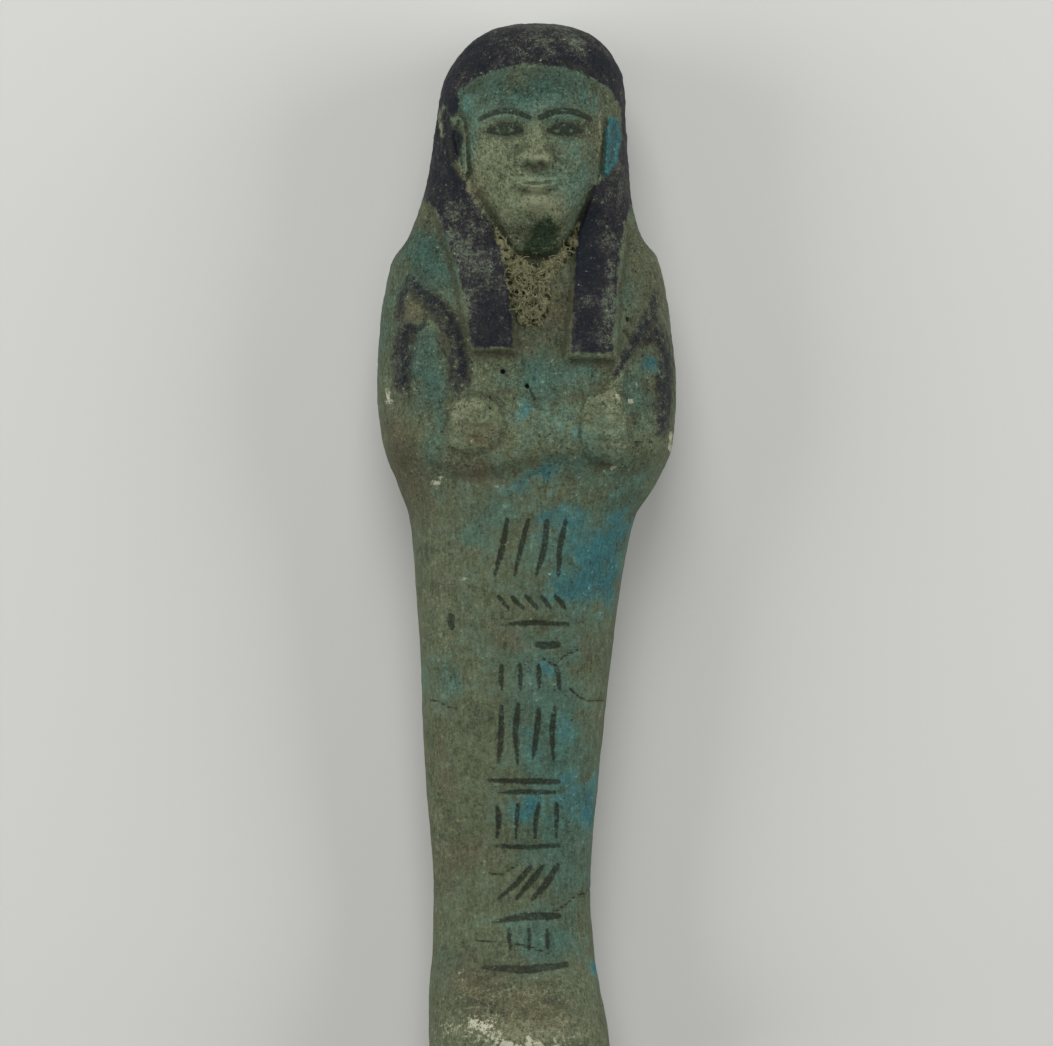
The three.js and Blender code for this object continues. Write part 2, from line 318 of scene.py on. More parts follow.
# The two hoes, each with a handle from the fist to the shoulder, a blade that hangs from its top, and a tie.
# The left one has a round knot there.
HOE_RADIUS = 1.0
HOE_DEPTH = 0.34
HOES = [
    [(-7.2, 75.4), (-7.6, 79.8), (-9.0, 83.6), (-12.9, 87.8), (-13.8, 83), (-13.6, 75.6)],
    [(-13.9, 82.3), (-9, 82.3)],
    [(9.4, 75), (10, 77.4), (11.1, 79.7), (14, 85.6), (15.3, 79.2), (14.8, 70.9)],
    [(11.9, 81.6), (14.9, 81.4)],
]
KNOT = (-12.4, 84.2, 1.7, 1.9)
KNOT_DEPTH = 0.6

# Long creases: under the forearms, and down both sides of the neck. Each is a line, a half-width and a
# depth.
CREASES = [
    ([(-7.5, 66.0), (-3.3, 66.2), (0, 67.2), (3, 67.8), (8.3, 67.2)], 0.9, 0.2),
    ([(-5.9, 69.1), (-4.4, 68.9), (-3.2, 69.5)], 0.4, 0.14),
    ([(-2.6, 70.2), (-2.3, 72.0), (-2.7, 73.6)], 0.35, 0.1),
    ([(-9.2, 64.4), (-5, 64.0), (-1.5, 63.6)], 0.5, 0.09),
    ([(-2.6, 75.1), (-0.8, 75.0), (0.7, 74.2)], 0.5, 0.08),
    ([(-3.4, 92.4), (-1.6, 90.3), (0.9, 89.5), (3.2, 89.9), (5.0, 92.4)], 0.45, 0.4),
]


# The column of brush strokes. The writing is replaced by rows of plain parallel strokes, one after another
# down the legs. A row is its height, the number of strokes, their length, their lean in degrees from upright,
# the places of the first and the last, and their half-width.
STROKE_ROWS = [
    (58.2, 4, 6.2, 11, -2.8, 3.9, 0.3),
    (52.2, 5, 1.9, -42, -2.5, 3.7, 0.26),
    (49.8, 1, 8.0, 90, 0.9, 0.9, 0.27),
    (47.6, 1, 2.6, 90, 2.3, 2.3, 0.38),
    (44.0, 4, 2.9, -4, -2.7, 3.4, 0.26),
    (37.8, 4, 6.4, 4, -2.9, 3.0, 0.29),
    (32.6, 1, 7.4, 91, -0.3, -0.3, 0.3),
    (31.4, 1, 6.4, 90, 0.0, 0.0, 0.25),
    (28.2, 4, 3.7, 2, -3.2, 3.3, 0.26),
    (25.5, 1, 7.0, 90, 0.1, 0.1, 0.25),
    (21.4, 3, 5.2, 42, -1.3, 2.0, 0.34),
    (17.4, 1, 7.6, 85, -0.1, -0.1, 0.36),
    (15.2, 3, 2.5, -2, -1.8, 2.3, 0.22),
    (12.3, 1, 9.0, 88, -0.2, -0.2, 0.42),
]
STROKE_TAPER = [(0.7, 1.0), (1.0, 1.3), (0.8, 1.2), (0.4, 0.8)]  # the least and most of it, from end to end
STROKE_DEPTH = 0.06
HAND_SEED = 7


def strokes():
    """Each brush stroke of the column, a little uneven: a line and the half-widths along it."""
    hand = np.random.default_rng(HAND_SEED)
    for height, count, length, lean, first, last, half in STROKE_ROWS:
        for i in range(count):
            middle = mix(first, last, i / max(count - 1, 1))
            turn = math.radians(lean + hand.uniform(-5, 5) * (count > 1))
            reach = length / 2 * hand.uniform(0.84, 1.04)
            dx, dy = math.sin(turn) * reach, math.cos(turn) * reach
            bow = hand.uniform(-0.05, 0.05) * length
            bend = (middle + bow * math.cos(turn), height - bow * math.sin(turn))
            halves = [half * hand.uniform(least, most) for least, most in STROKE_TAPER]
            yield [(middle + dx, height + dy), bend, (middle - dx, height - dy)], halves


# Damage: cracks as lines, and chips and holes as (x, height, half-width, half-height).
CRACKS = [
    [(-10.9, 41.5), (-9.6, 41.2), (-8.4, 40.6), (-7.6, 40.5)],
    [(4.8, 42.7), (5.7, 41.9), (6.6, 41.4), (8.5, 41.4)],
    [(1.9, 46.0), (3.1, 45.3), (4.0, 46.2), (5.6, 47)],
    [(2.9, 18), (4.4, 19), (5.2, 19.7), (7.0, 20.3)],
    [(-6.2, 15.2), (-3.9, 14.9), (-1.4, 14.8), (0.6, 14.3), (2.4, 13.7)],
    [(-3.8, 22.3), (-2.4, 22.5), (-1, 23.3)],
    [(0.25, 75.6), (0.6, 75), (0.9, 74.3)],
    [(11.9, 69.7), (13.1, 69.9), (13.8, 69.7)],
]
CHIPS = [
    (-15.25, 74.9, 0.16, 0.6),
    (-15.1, 74.2, 0.32, 0.14),
    (-9.9, 65.3, 0.45, 0.26),
    (-9.4, 65.8, 0.2, 0.2),
    (11.35, 74.2, 0.3, 0.28),
    (9.4, 66.9, 0.3, 0.2),
    (9.9, 74.7, 0.14, 0.2),
    (16.0, 70.4, 0.22, 0.5),
    (15.9, 69.2, 0.2, 0.4),
    (-6.5, 54.8, 0.35, 0.1),
]
HOLES = [
    (0.05, 75.8, 0.3, 0.32),
    (-2.6, 77.4, 0.36, 0.3),
    (-4, 74.7, 0.16, 0.22),
    (-3.95, 73.5, 0.2, 0.16),
    (11.1, 83.2, 0.24, 0.3),
    (10.7, 81.9, 0.16, 0.2),
    (7.2, 76.9, 0.12, 0.2),
    (1.6, 81.4, 0.3, 0.14),
]
CRACK_DEPTH = 0.1
CHIP_DEPTH = 0.25
HOLE_DEPTH = 0.75

# The patch of earth under the chin: its left and right edges as (height, x), and its top and bottom.
EARTH_LEFT = [(82, 0.4), (82.8, -0.9), (84.6, -1.6), (88, -2.2), (90, -2.7), (92.4, -3.4)]
EARTH_RIGHT = [(82, 0.9), (83, 1.9), (84.6, 2.4), (87, 2.6), (88.4, 3.5), (90, 4.8), (91.2, 5.7)]
EARTH_TOP = 89.0
EARTH_BOTTOM = 82.4


def earth_distance(x, height):
    """How far a point is inside the patch of earth: a ragged bib under the chin with an arm up each side."""
    bib = np.minimum(x - row_value(EARTH_LEFT, 1, height), row_value(EARTH_RIGHT, 1, height) - x)
    under_chin = EARTH_TOP + 0.33 * np.abs(x - 1.1) ** 1.75 - height
    return np.minimum(np.minimum(bib, under_chin), height - EARTH_BOTTOM)


def carved_front(x, height, z):
    """The carved front at points of the plain body whose height above the table is z."""
    z = z + ARM_DEPTH * blend_up(*(rib(x, height, arm, ARM_RADIUS) for arm in ARMS), ARM_FILLET)
    for fist in FISTS:
        z = z + FIST_DEPTH * block(x, height, *fist)
        for finger in (-1, 0, 1):
            level = fist[1] + finger * FINGER_STEP
            crease = [(fist[0] - 1.6, level + 0.2), (fist[0] + 1.4, level - 0.2)]
            z = z - FINGER_CREASE * rib(x, height, crease, FINGER_RADIUS)
    for line in HOES:
        z = z + HOE_DEPTH * rib(x, height, line, HOE_RADIUS)
    z = z + KNOT_DEPTH * mound(x, height, *KNOT) ** 0.7
    on_head = height > FACE_ROWS[0][0]
    z = np.where(on_head, blend_up(z, face_height(x, height), FACE_FILLET), z)
    wig = inside_wig(x, height, WIG_OPENING, WIG_OUTSIDE, LAPPET_END, WIG_FILLET)
    edge = WIG_EDGE + JAW_SLOPE * mound(x, height, *LEFT_JAW)
    z = z + row_value(WIG_THICKNESS, 1, height) * smooth(wig, -edge, edge)
    for line, half, depth in CREASES:
        z = z - depth * np.exp(-((distance_to_line(x, height, line) / half) ** 2))
    return z + ear_rise(x, height)


# The grid of the surface: faces around the front and the back, and faces along it as (height, faces up to
# there), close together where it is carved.
FRONT_FACES = 186
BACK_FACES = 58
BANDS = [(SOLE_ROUNDING, 8), (11, 22), (61, 150), (90, 100), (CROWN_START, 84)]
SOLE_RINGS = 6
CROWN_RINGS = 34
around = FRONT_FACES + BACK_FACES

ring_height, ring_draw = [], []
for ring in range(1, CROWN_RINGS):
    up = math.cos(ring / CROWN_RINGS * math.pi / 2)
    ring_height.append(CROWN_START + (LENGTH - CROWN_START) * up)
    ring_draw.append([(1 - up**power) ** (1 / power) for power in CROWN_POWER.values()])
starts = [0] + [top for top, _ in BANDS[:-1]]
for start, (top, faces) in reversed(list(zip(starts, BANDS))):
    for step in range(faces, 0, -1):
        share = step / faces
        turn = 1 - math.cos(share * math.pi / 2) if start == 0 else share
        ring_height.append(mix(start, top, turn))
        ring_draw.append([1] * 4)
for ring in range(SOLE_RINGS, 0, -1):
    ring_height.append(0)
    ring_draw.append([ring / SOLE_RINGS] * 4)
height = np.array(ring_height)[:, None]
draw_left, draw_right, draw_front, draw_back = (np.array(ring_draw)[:, i : i + 1] for i in range(4))

# Across the front the faces are closer together near the sides, where the body curves away.
share = 2 * np.arange(FRONT_FACES + 1) / FRONT_FACES - 1
front_across = share * (1.125 - 0.125 * share**8)
back_across = np.cos(np.arange(1, BACK_FACES) / BACK_FACES * math.pi)
across = np.concatenate([front_across, back_across])[None, :]
on_front = (np.arange(around) <= FRONT_FACES)[None, :]

left, right, front, back, widest = (
    row_value(SECTIONS, column, np.minimum(height, CROWN_START)) for column in range(1, 6)
)
low = 1 - np.minimum(height / SOLE_ROUNDING, 1)
inset = SOLE_ROUNDING * (1 - np.sqrt(1 - low * low))
half_width = np.where(across < 0, (left - inset) * draw_left, (right - inset) * draw_right)
x = across * half_width
power = np.where(on_front, FRONT_POWER, BACK_POWER)
bulge = np.clip(1 - np.abs(across) ** power, 0, 1) ** (1 / power)
z_front = widest + (front - inset - widest) * draw_front * bulge
z_back = np.maximum(widest - (widest - back - inset) * draw_back * bulge, 0)
height = np.broadcast_to(height, x.shape)
# The carving fades out towards the sides, the crown and the soles.
facing = smooth(bulge, 0.15, 0.5) * smooth(draw_front, 0.1, 0.6) * (height > 0)
z = np.where(on_front, mix(z_front, carved_front(x, height, z_front), facing), z_back)

rows, columns = x.shape
crown_point = [0, LENGTH / 2, float(row_value(SECTIONS, 5, CROWN_START))]
sole_point = [0, -LENGTH / 2, float(row_value(SECTIONS, 5, 0))]
points = np.vstack([np.stack([x, height - LENGTH / 2, z], axis=-1).reshape(-1, 3), crown_point, sole_point])


def cloud(size, seed, detail=3):
    """Smooth noise at every point, from about -1 to 1, with features of this size in millimetres."""
    shift = Vector((seed * 17.3, seed * 5.1, seed * 9.7))
    return np.array([noise.fractal(Vector(p) / size + shift, 1.0, 2.0, detail) for p in points])


def on_grid(values):
    return values[:-2].reshape(rows, columns)


# Fields over the grid that the paint, the wear, the painted light and shade and the finest relief
# follow. Distances are in millimetres, above 0 inside the mark.
PAINT_OPENING = [
    (78, -1.35, 4.65),
    (82, -1.5, 4.9),
    (87, -2.0, 5.2),
    (91.4, -2.9, 5.3),
    (93.7, -3.9, 5.7),
    (95.5, -5.4, 6.4),
    (97.6, -6.6, 7.3),
    (99.0, -7.5, 8.9),
    (101.5, -8.9, 10.2),
    (106, -9.6, 10.5),
    (108.4, -7.6, 9.3),
    (112, -6.2, 8.6),
]
PAINT_OUTSIDE = [
    (78, -6.0, 9.3),
    (84, -6.5, 9.6),
    (87, -7.1, 9.85),
    (91.4, -8.5, 10.3),
    (95, -9.9, 11.2),
    (98, -13, 13),
]
PAINT_END = (79.95, 79.45)
PAINT_FILLET = 0.4
BACK_PAINT_END = 97  # at the sides, and lower by the sag in the middle of the back
BACK_PAINT_SAG = 5
TEMPLE_BLOTS = [(-8.1, 102.3, 1.1, 2.0), (-8.2, 107.2, 0.8, 2.0), (-8.8, 104.9, 0.55, 1.5)]
OUTSIDE = -9.0  # far outside every mark
SIDE_FADE = 3.5  # how far down the sides the marks of the front run on

round_side = np.where(on_front, 0, smooth(widest - z_back, 0, SIDE_FADE))


def on_face_side(field, elsewhere=OUTSIDE):
    """The field on the front, running on a little way round the sides before it fades."""
    return mix(field, elsewhere, round_side)


def mark_distance(places):
    """How far a point is inside the nearest of some ovals."""
    nearest = np.full(x.shape, OUTSIDE)
    for middle, level, half, half_height in places:
        far = np.hypot((x - middle) / half, (height - level) / half_height)
        nearest = np.maximum(nearest, (1 - far) * min(half, half_height))
    return on_face_side(nearest)


def brushed(marks):
    """How far a point is inside the nearest of some brush marks, each a line and its half-widths."""
    nearest = np.full(x.shape, OUTSIDE)
    for line, halves in marks:
        nearest = np.maximum(nearest, inside_stroke(x, height, line, halves))
    return on_face_side(nearest)


wig_front = inside_wig(x, height, PAINT_OPENING, PAINT_OUTSIDE, PAINT_END, PAINT_FILLET)
wig_paint = np.where(on_front, wig_front, height - (BACK_PAINT_END - BACK_PAINT_SAG * bulge))
wig_paint = np.maximum(wig_paint, mark_distance(TEMPLE_BLOTS))

BLOT = ([(-8.3, 50.6), (-8.2, 49.5)], [0.45, 0.35])  # to the left of the column
line_paint = brushed([*strokes(), BLOT])

# The hoes are painted in broad marks, and again in thin darker ones.
hoe_paint = brushed([
    ([(-13.0, 87.6), (-13.7, 85.6), (-13.9, 83.4)], [0.3, 0.55, 0.5]),
    ([(-13.2, 81.8), (-13.5, 79), (-13.7, 76.2)], [1.1, 1.15, 0.95]),
    ([(-12.7, 87.6), (-11.4, 85.8), (-9.6, 84.4), (-8.3, 82.6), (-7.6, 80.4)], [0.4, 0.9, 1.15, 1.05, 0.9]),
    ([(-7.5, 80.4), (-7.3, 78.2), (-7.4, 76.5)], [0.9, 1.15, 1.3]),
    ([(9.9, 77.2), (11.3, 79.8), (12.7, 82.0), (13.6, 84.2)], [0.35, 0.65, 0.75, 0.8]),
    ([(13.6, 84.0), (14.2, 86.2)], [0.8, 0.3]),
    ([(14.0, 83.2), (15.0, 81.2), (15.3, 78.4), (15.1, 74.4), (14.8, 71.2)], [0.5, 0.75, 0.9, 1.0, 0.9]),
    ([(12.9, 81.2), (14.6, 80.9)], [0.7, 0.7]),
])
hoe_line = brushed([
    (
        [(-12.5, 87.5), (-11.5, 86.3), (-10.4, 85.4), (-9.1, 84.6), (-7.9, 83.0), (-7.1, 81.2)],
        [0.2, 0.35, 0.3],
    ),
    ([(-13.4, 86.8), (-13.8, 85.1), (-14.0, 83.4)], [0.1, 0.25, 0.2]),
    ([(-13.0, 82.5), (-11.9, 82.0), (-10.9, 82.7)], [0.25, 0.42, 0.25]),
    ([(-13.4, 81.6), (-13.2, 78.6), (-13.6, 76.2)], [0.4, 0.5, 0.3]),
    ([(-7.4, 80.2), (-6.9, 78.0), (-6.9, 76.4)], [0.3, 0.5, 0.3]),
    ([(-9.9, 81.2), (-9.0, 79.6), (-8.2, 78.1)], [0.1, 0.2, 0.1]),
    ([(9.7, 76.9), (11.2, 79.5), (12.4, 81.4)], [0.15, 0.22, 0.15]),
    ([(12.8, 83.2), (13.8, 82.0), (14.9, 81.4)], [0.2, 0.45, 0.3]),
    ([(13.2, 80.6), (14.2, 81.6), (15.0, 79.6)], [0.2, 0.35, 0.2]),
    ([(15.4, 79.4), (15.5, 77.0), (15.4, 74.0), (15.0, 71.4)], [0.3, 0.4, 0.5, 0.3]),
])

PUPIL = 0.6
UPPER_LID_LINE = 0.32
LOWER_LID_LINE = 0.2
BROW_LINE = 0.36
face_across = np.abs(x - FACE_MIDDLE)
upper_lid, lower_lid = eye_lines(face_across, height)
pupil = PUPIL - np.hypot(face_across - EYE_ACROSS, height - EYE - 0.1)
lids = np.maximum(UPPER_LID_LINE - upper_lid, LOWER_LID_LINE - lower_lid)
brows = BROW_LINE - brow_line(face_across, height)
face_paint = on_face_side(np.maximum(np.maximum(lids, pupil), brows))

# Spots of colour and wear drift with noise, so that their outlines are ragged.
drift_x = on_grid(1.1 * cloud(5, 11) + 0.5 * cloud(1.6, 12))
drift_height = on_grid(1.6 * cloud(5, 13) + 0.7 * cloud(1.6, 14))


def spots(places, drift=1.0):
    """The sum of soft, ragged spots on the front, each (x, height, half-width, half-height, strength)."""
    total = np.zeros(x.shape)
    sideways, upwards = x + drift * drift_x, height + drift * drift_height
    for middle, level, half, half_height, strength in places:
        far = ((sideways - middle) / half) ** 2
        total += strength * np.exp(-far - ((upwards - level) / half_height) ** 2)
    return on_face_side(total, 0)


blue = spots([
    (6.8, 56.4, 3.2, 4.2, 1.15),
    (4.2, 53.4, 2.6, 2.0, 0.75),
    (5.4, 60.6, 3.0, 2.4, 0.5),
    (2.0, 61.8, 1.7, 1.9, 0.85),
    (9.8, 60.4, 1.8, 3.6, 0.75),
    (9.4, 53.5, 1.4, 2.6, 0.6),
    (1.0, 66.4, 3.0, 1.1, 1.0),
    (4.4, 67.4, 2.2, 0.8, 0.45),
    (-1.2, 64.8, 1.8, 1.1, 0.55),
    (0.4, 77.2, 1.3, 1.2, 0.55),
    (-0.6, 73.2, 1.3, 0.9, 0.6),
    (0.9, 73.0, 1.2, 0.8, 0.45),
    (4.8, 70.6, 1.5, 1.3, 0.6),
    (13.3, 79.0, 1.2, 1.3, 1.1),
    (1.6, 44.0, 1.6, 1.2, 0.9),
    (0.2, 39.0, 1.5, 2.0, 0.7),
    (1.4, 36.2, 1.4, 1.8, 0.75),
    (3.9, 37.4, 1.3, 2.2, 0.6),
    (0.4, 30.2, 1.7, 2.3, 1.05),
    (5.0, 31.0, 1.9, 2.8, 1.0),
    (7.3, 30.0, 1.0, 3.6, 1.1),
    (7.4, 12.2, 0.8, 1.2, 1.2),
    (0.6, 107.4, 1.3, 1.7, 0.5),
    (6.0, 107.6, 1.1, 1.6, 0.55),
    (-6.2, 106.6, 1.0, 1.8, 0.4),
    (-9.4, 43.8, 1.2, 1.0, 0.35),
    (-8.6, 12.6, 1.2, 0.9, 0.35),
])
right_ear = smooth(inside_ear(x, height), -0.1, 0.4) * (x > 0)
blue += 1.5 * on_face_side(right_ear, 0)
teal = spots([
    (6.0, 56, 6.0, 9, 1.1),
    (2.0, 40, 4.5, 7, 0.9),
    (4.0, 30, 5.0, 8, 1.1),
    (4.5, 20, 3.5, 6, 0.7),
    (1.5, 15.5, 4.5, 3.0, 0.9),
    (-7, 12.5, 2.5, 1.6, 0.5),
    (-8.8, 44, 1.8, 2.6, 0.9),
    (-4, 61.5, 4, 2.4, 0.8),
    (0.6, 75.5, 2.6, 4.5, 1.0),
    (4.5, 70, 4.5, 3.0, 0.7),
    (-10.4, 77, 2.2, 4.5, 1.2),
    (-11.3, 89.5, 3.0, 4.5, 1.3),
    (-15.2, 84, 1.6, 5, 0.9),
    (-10, 69, 1.4, 4, 0.7),
    (12.4, 74.5, 2.2, 4.5, 1.0),
    (12, 64, 3, 5, 0.7),
    (5, 77.5, 4, 1.8, 0.8),
    (10.8, 86, 1.5, 4, 0.4),
    (0.9, 107.8, 8, 3.2, 1.5),
    (6, 99, 2.5, 5, 0.7),
    (-6.4, 101, 1.3, 5, 0.8),
])
# Brown stains. The spots at (-5.6, 66.2), (-5.2, 70.8) and (-4.6, 69.0), along the crease under the forearms
# and on the lower part of the left fist, are painted shade.
brown = spots([
    (-14, 69.0, 2.8, 5.0, 1.2),
    (-12.2, 63.6, 2.4, 3.0, 0.7),
    (-8.5, 56, 3.0, 6.0, 0.4),
    (-9, 22, 3.0, 6, 0.5),
    (-5.5, 24.4, 4, 1.6, 0.7),
    (-9.8, 36, 1.6, 4, 0.8),
    (-2.4, 47.4, 2.4, 2.4, 1.0),
    (6.5, 46.6, 0.8, 2.4, 0.8),
    (-8.9, 81.4, 0.7, 2.4, 0.9),
    (2.6, 84.5, 2.8, 3.6, 1.1),
    (-5.9, 96.4, 1.4, 3.4, 1.2),
    (-5.6, 66.2, 3, 1.0, 1.3),
    (-2.5, 63.3, 3, 0.9, 0.4),
    (-5.2, 70.8, 2.0, 1.8, 1.2),
    (-4.6, 69.0, 2.0, 0.6, 1.1),
    (7.2, 24, 1.0, 6, 0.6),
    (13.4, 86.4, 2.4, 4, 0.9),
    (14.2, 82.0, 1.0, 0.9, 1.0),
    (-6.5, 10.5, 3.4, 3.0, 1.0),
    (0.5, 8.5, 7.0, 2.6, 1.0),
    (0, 5.4, 9.0, 1.8, 0.9),
    (-8.5, 32, 1.2, 2, 0.6),
    (7.4, 102, 0.5, 6, 0.8),
    (-0.2, 79.8, 2, 1.2, 0.8),
    (11.5, 91, 1.6, 2, 0.5),
    (-0.9, 109.0, 2.6, 1.6, -1.2),
])
# These hardly drift: the knot of the left hoe, the rim of the right temple, and the tie of the right hoe.
steady = [
    (-12.4, 84.2, 1.2, 1.35, 2.4),
    (8.5, 103.6, 0.4, 1.4, 1.4),
    (14.2, 81.2, 0.9, 1.1, 0.9),
]
brown += spots(steady, drift=0.15)
worn = spots([
    (-6.6, 73.4, 2.2, 1.1, 0.7),
    (-7.4, 71.6, 0.9, 2.0, 0.3),
    (9.4, 71.8, 1.2, 3.4, 0.7),
    (8.0, 74.2, 2.2, 0.9, 0.5),
    (2.6, 71.6, 6.0, 2.6, 0.25),
    (9.8, 69.0, 0.9, 1.2, 0.4),
    (10.1, 76.8, 0.5, 1.6, 0.8),
    (-14.9, 76, 0.8, 1.0, 0.5),
    (-13, 75.6, 0.9, 0.8, 0.5),
    (0.9, 99.8, 1.6, 3.6, 1.0),
    (0.9, 95.2, 3.2, 1.6, 1.1),
    (-3.8, 99.4, 2.8, 4.2, 0.6),
    (4.9, 99.5, 2.2, 3.4, 0.55),
    (-6.4, 97.6, 1.0, 3.0, 0.7),
    (-9.5, 105, 0.6, 4.2, 1.4),
    (-9.3, 100.4, 0.8, 1.4, 1.0),
    (7.9, 103, 0.45, 4.0, 0.9),
    (-8.6, 67.5, 2.0, 2.4, 0.25),
    (-4.6, 77.6, 2.0, 1.0, 0.25),
    (4, 112.6, 1.4, 0.7, 0.8),
    (-8, 57, 3.4, 8, 0.25),
    (-10, 28, 1.4, 6, 0.4),
    (-9.6, 46, 1.4, 6, 0.35),
    (-1, 9.0, 9, 2.2, 0.5),
    (-3, 5.5, 8, 2.4, 0.45),
    (0, 3.5, 10, 3.0, 0.5),
    (-2, 92.6, 1.1, 1.4, 0.3),
])
# Spots of painted shade on the shoulders, the upper arms, the chest, the left elbow, the forehead, the right
# temple and under the chin, and, where the strength is below 0, painted light on the left cheek, the chin,
# the forearms and the feet.
painted_light_and_shade = spots([
    (-11.5, 91, 3.6, 4.5, 0.28),
    (12.6, 89, 3.0, 5.0, 0.18),
    (1.4, 80.5, 4.0, 4.0, 0.26),
    (-12, 79, 4.5, 6.0, 0.16),
    (12.4, 78, 4.0, 6.0, 0.15),
    (0.9, 109.0, 8, 1.8, 0.35),
    (6.5, 104, 2.6, 5.0, 0.12),
    (0.9, 91.8, 4.0, 2.4, 0.35),
    (-2.5, 99, 5.0, 5.0, -0.3),
    (0.9, 95.2, 3.0, 2.0, -0.3),
    (-13.5, 66, 3.0, 6.0, 0.15),
    (2, 71.5, 10, 3.5, -0.12),
    (0, 7, 11, 5.0, -0.12),
])
core = spots([
    (-4.9, 5.6, 1.8, 1.0, 1.0),
    (-0.2, 3.9, 4.9, 0.75, 1.5),
    (-8.6, 5.2, 1.4, 1.6, 0.5),
]) + 0.3 * smooth(2.4 - height, 0, 1)
# Deep green where the glaze pooled in the neck, darkened further as painted shade under the chin.
glaze_pool_and_shade = spots([(1.9, 92.6, 1.6, 2.6, 1.2), (0.7, 90.6, 1.6, 1.0, 0.7)], drift=0.4)
rubbed = 0.35 + spots([
    (-7.0, 91.0, 3.0, 5.0, 0.65),
    (-6.6, 83.6, 1.2, 4.0, 0.45),
    (-3.6, 81.8, 2.4, 3.0, -0.45),
    (6.7, 87.6, 1.5, 2.2, -0.8),
    (6.2, 82.6, 1.2, 1.2, -0.35),
    (7.0, 93.0, 2.6, 3.4, -0.75),
    (7.6, 80.2, 1.8, 1.4, 0.3),
    (8.9, 84.4, 0.9, 3.4, 0.5),
    (6.2, 84.9, 1.2, 0.7, 0.5),
    (9.0, 90, 0.6, 5, 0.6),
    (0.5, 116, 10, 2.6, 0.65),
    (-5.4, 113.0, 3.0, 1.8, -0.6),
    (1.6, 112.2, 2.4, 0.8, 0.7),
    (4.8, 113.4, 1.6, 0.9, 0.6),
    (8.4, 110.8, 2.0, 2.4, -0.7),
    (-8.8, 97, 2.0, 2.4, -0.3),
    (-8.1, 103, 1.4, 5, -0.9),
    (10.4, 98.5, 1.4, 3.0, 0.5),
])
# The grain is coarser from the elbows up and at the feet, and smoother on the face.
grit = 0.3 + 0.3 * smooth(height, 63, 71) + 0.4 * smooth(height, 88, 93) + 0.1 * smooth(12 - height, 0, 8)
grit -= 0.3 * on_face_side(smooth(-wig_paint, -0.2, 0.8) * smooth(height, 91, 94), 0)

crack = np.full(x.shape, -OUTSIDE)
for line in CRACKS:
    crack = np.minimum(crack, distance_to_line(x, height, line))
crack = on_face_side(crack, -OUTSIDE)

# Brown along the creases, partly dirt and partly painted shade, and painted shadows under both lappets.
LAPPET_SHADOWS = [([(-5.9, 79.2), (-1.2, 79.1)], 0.5), ([(4.3, 78.4), (9.8, 78.3)], 0.35)]
dirt_and_painted_shadow = np.zeros(x.shape)
for line, half, depth in CREASES:
    dirt_and_painted_shadow += np.exp(-((distance_to_line(x, height, line) / (half * 0.8)) ** 2)) * min(depth * 2.0, 0.8)
for line, half in LAPPET_SHADOWS:
    dirt_and_painted_shadow += 0.5 * np.exp(-((distance_to_line(x, height, line) / half) ** 2))
dirt_and_painted_shadow = on_face_side(dirt_and_painted_shadow, 0)
chip = mark_distance(CHIPS)
hole = mark_distance(HOLES)
earth = on_face_side(earth_distance(x, height))

# The mesh: rings from the crown down to the soles, with a point at each end.
index = np.arange(rows * columns).reshape(rows, columns)
following = np.roll(index, -1, axis=1)
quads = np.stack([index[:-1], index[1:], following[1:], following[:-1]], axis=-1).reshape(-1, 4)
crown, sole = rows * columns, rows * columns + 1
caps = [[crown, a, b] for a, b in zip(index[0], following[0])]
caps += [[sole, b, a] for a, b in zip(index[-1], following[-1])]
mesh = bpy.data.meshes.new("faience_figure")
mesh.from_pydata(points, [], quads.tolist() + [[int(i) for i in cap] for cap in caps])
mesh.update()


def at_points(field, crown_value=None, sole_value=0.0):
    """A field over the grid as one value for each point of the mesh."""
    crown_value = float(field[0].mean()) if crown_value is None else crown_value
    return np.concatenate([field.reshape(-1), [crown_value, sole_value]])


def point_normals(mesh):
    normals = np.zeros(len(mesh.vertices) * 3, np.float32)
    mesh.vertex_normals.foreach_get("vector", normals)
    return normals.reshape(-1, 3).astype(float)


# Hand-pressed unevenness, the coarse core at the feet, sunk strokes, chips, holes and the lump of earth are
# all moves along the surface's own direction.
coarse = at_points(grit)
lumps = 0.10 * cloud(7, 1) + (0.025 + 0.07 * coarse) * cloud(1.7, 2) + 0.06 * coarse * cloud(0.6, 3, 2)
lumps += 0.12 * at_points(smooth(core, 0.3, 1.0)) * cloud(0.9, 5, 3)
lumps -= STROKE_DEPTH * smooth(at_points(line_paint), -0.1, 0.25)
lumps -= CHIP_DEPTH * smooth(at_points(chip) + 0.15 * cloud(0.4, 6), -0.1, 0.25)
lumps -= HOLE_DEPTH * smooth(at_points(hole), -0.05, 0.2)
lumps -= CRACK_DEPTH * (1 - smooth(at_points(crack), 0.05, 0.3))
inside_earth = at_points(smooth(earth, -0.15, 0.5))
web = 1 - np.abs(cloud(0.7, 4, 2)) * 3.4  # 1 along a net of ridges
lumps += inside_earth * (0.2 + 0.36 * np.clip(web, -0.8, 1))
points = points + point_normals(mesh) * lumps[:, None]
points[:, 2] = np.clip(points[:, 2], 0, figure_high.z / MM)
points[:, 1] = np.clip(points[:, 1], -LENGTH / 2, LENGTH / 2)
points[:, 0] = np.clip(points[:, 0], figure_low.x / MM, figure_high.x / MM)
on_table = at_points((z_back <= 0) & ~on_front & (height > 0), 0.0) > 0
points[on_table, 2] = 0
mesh.vertices.foreach_set("co", (points * MM).astype(np.float32).ravel())
mesh.update()
mesh.shade_smooth()


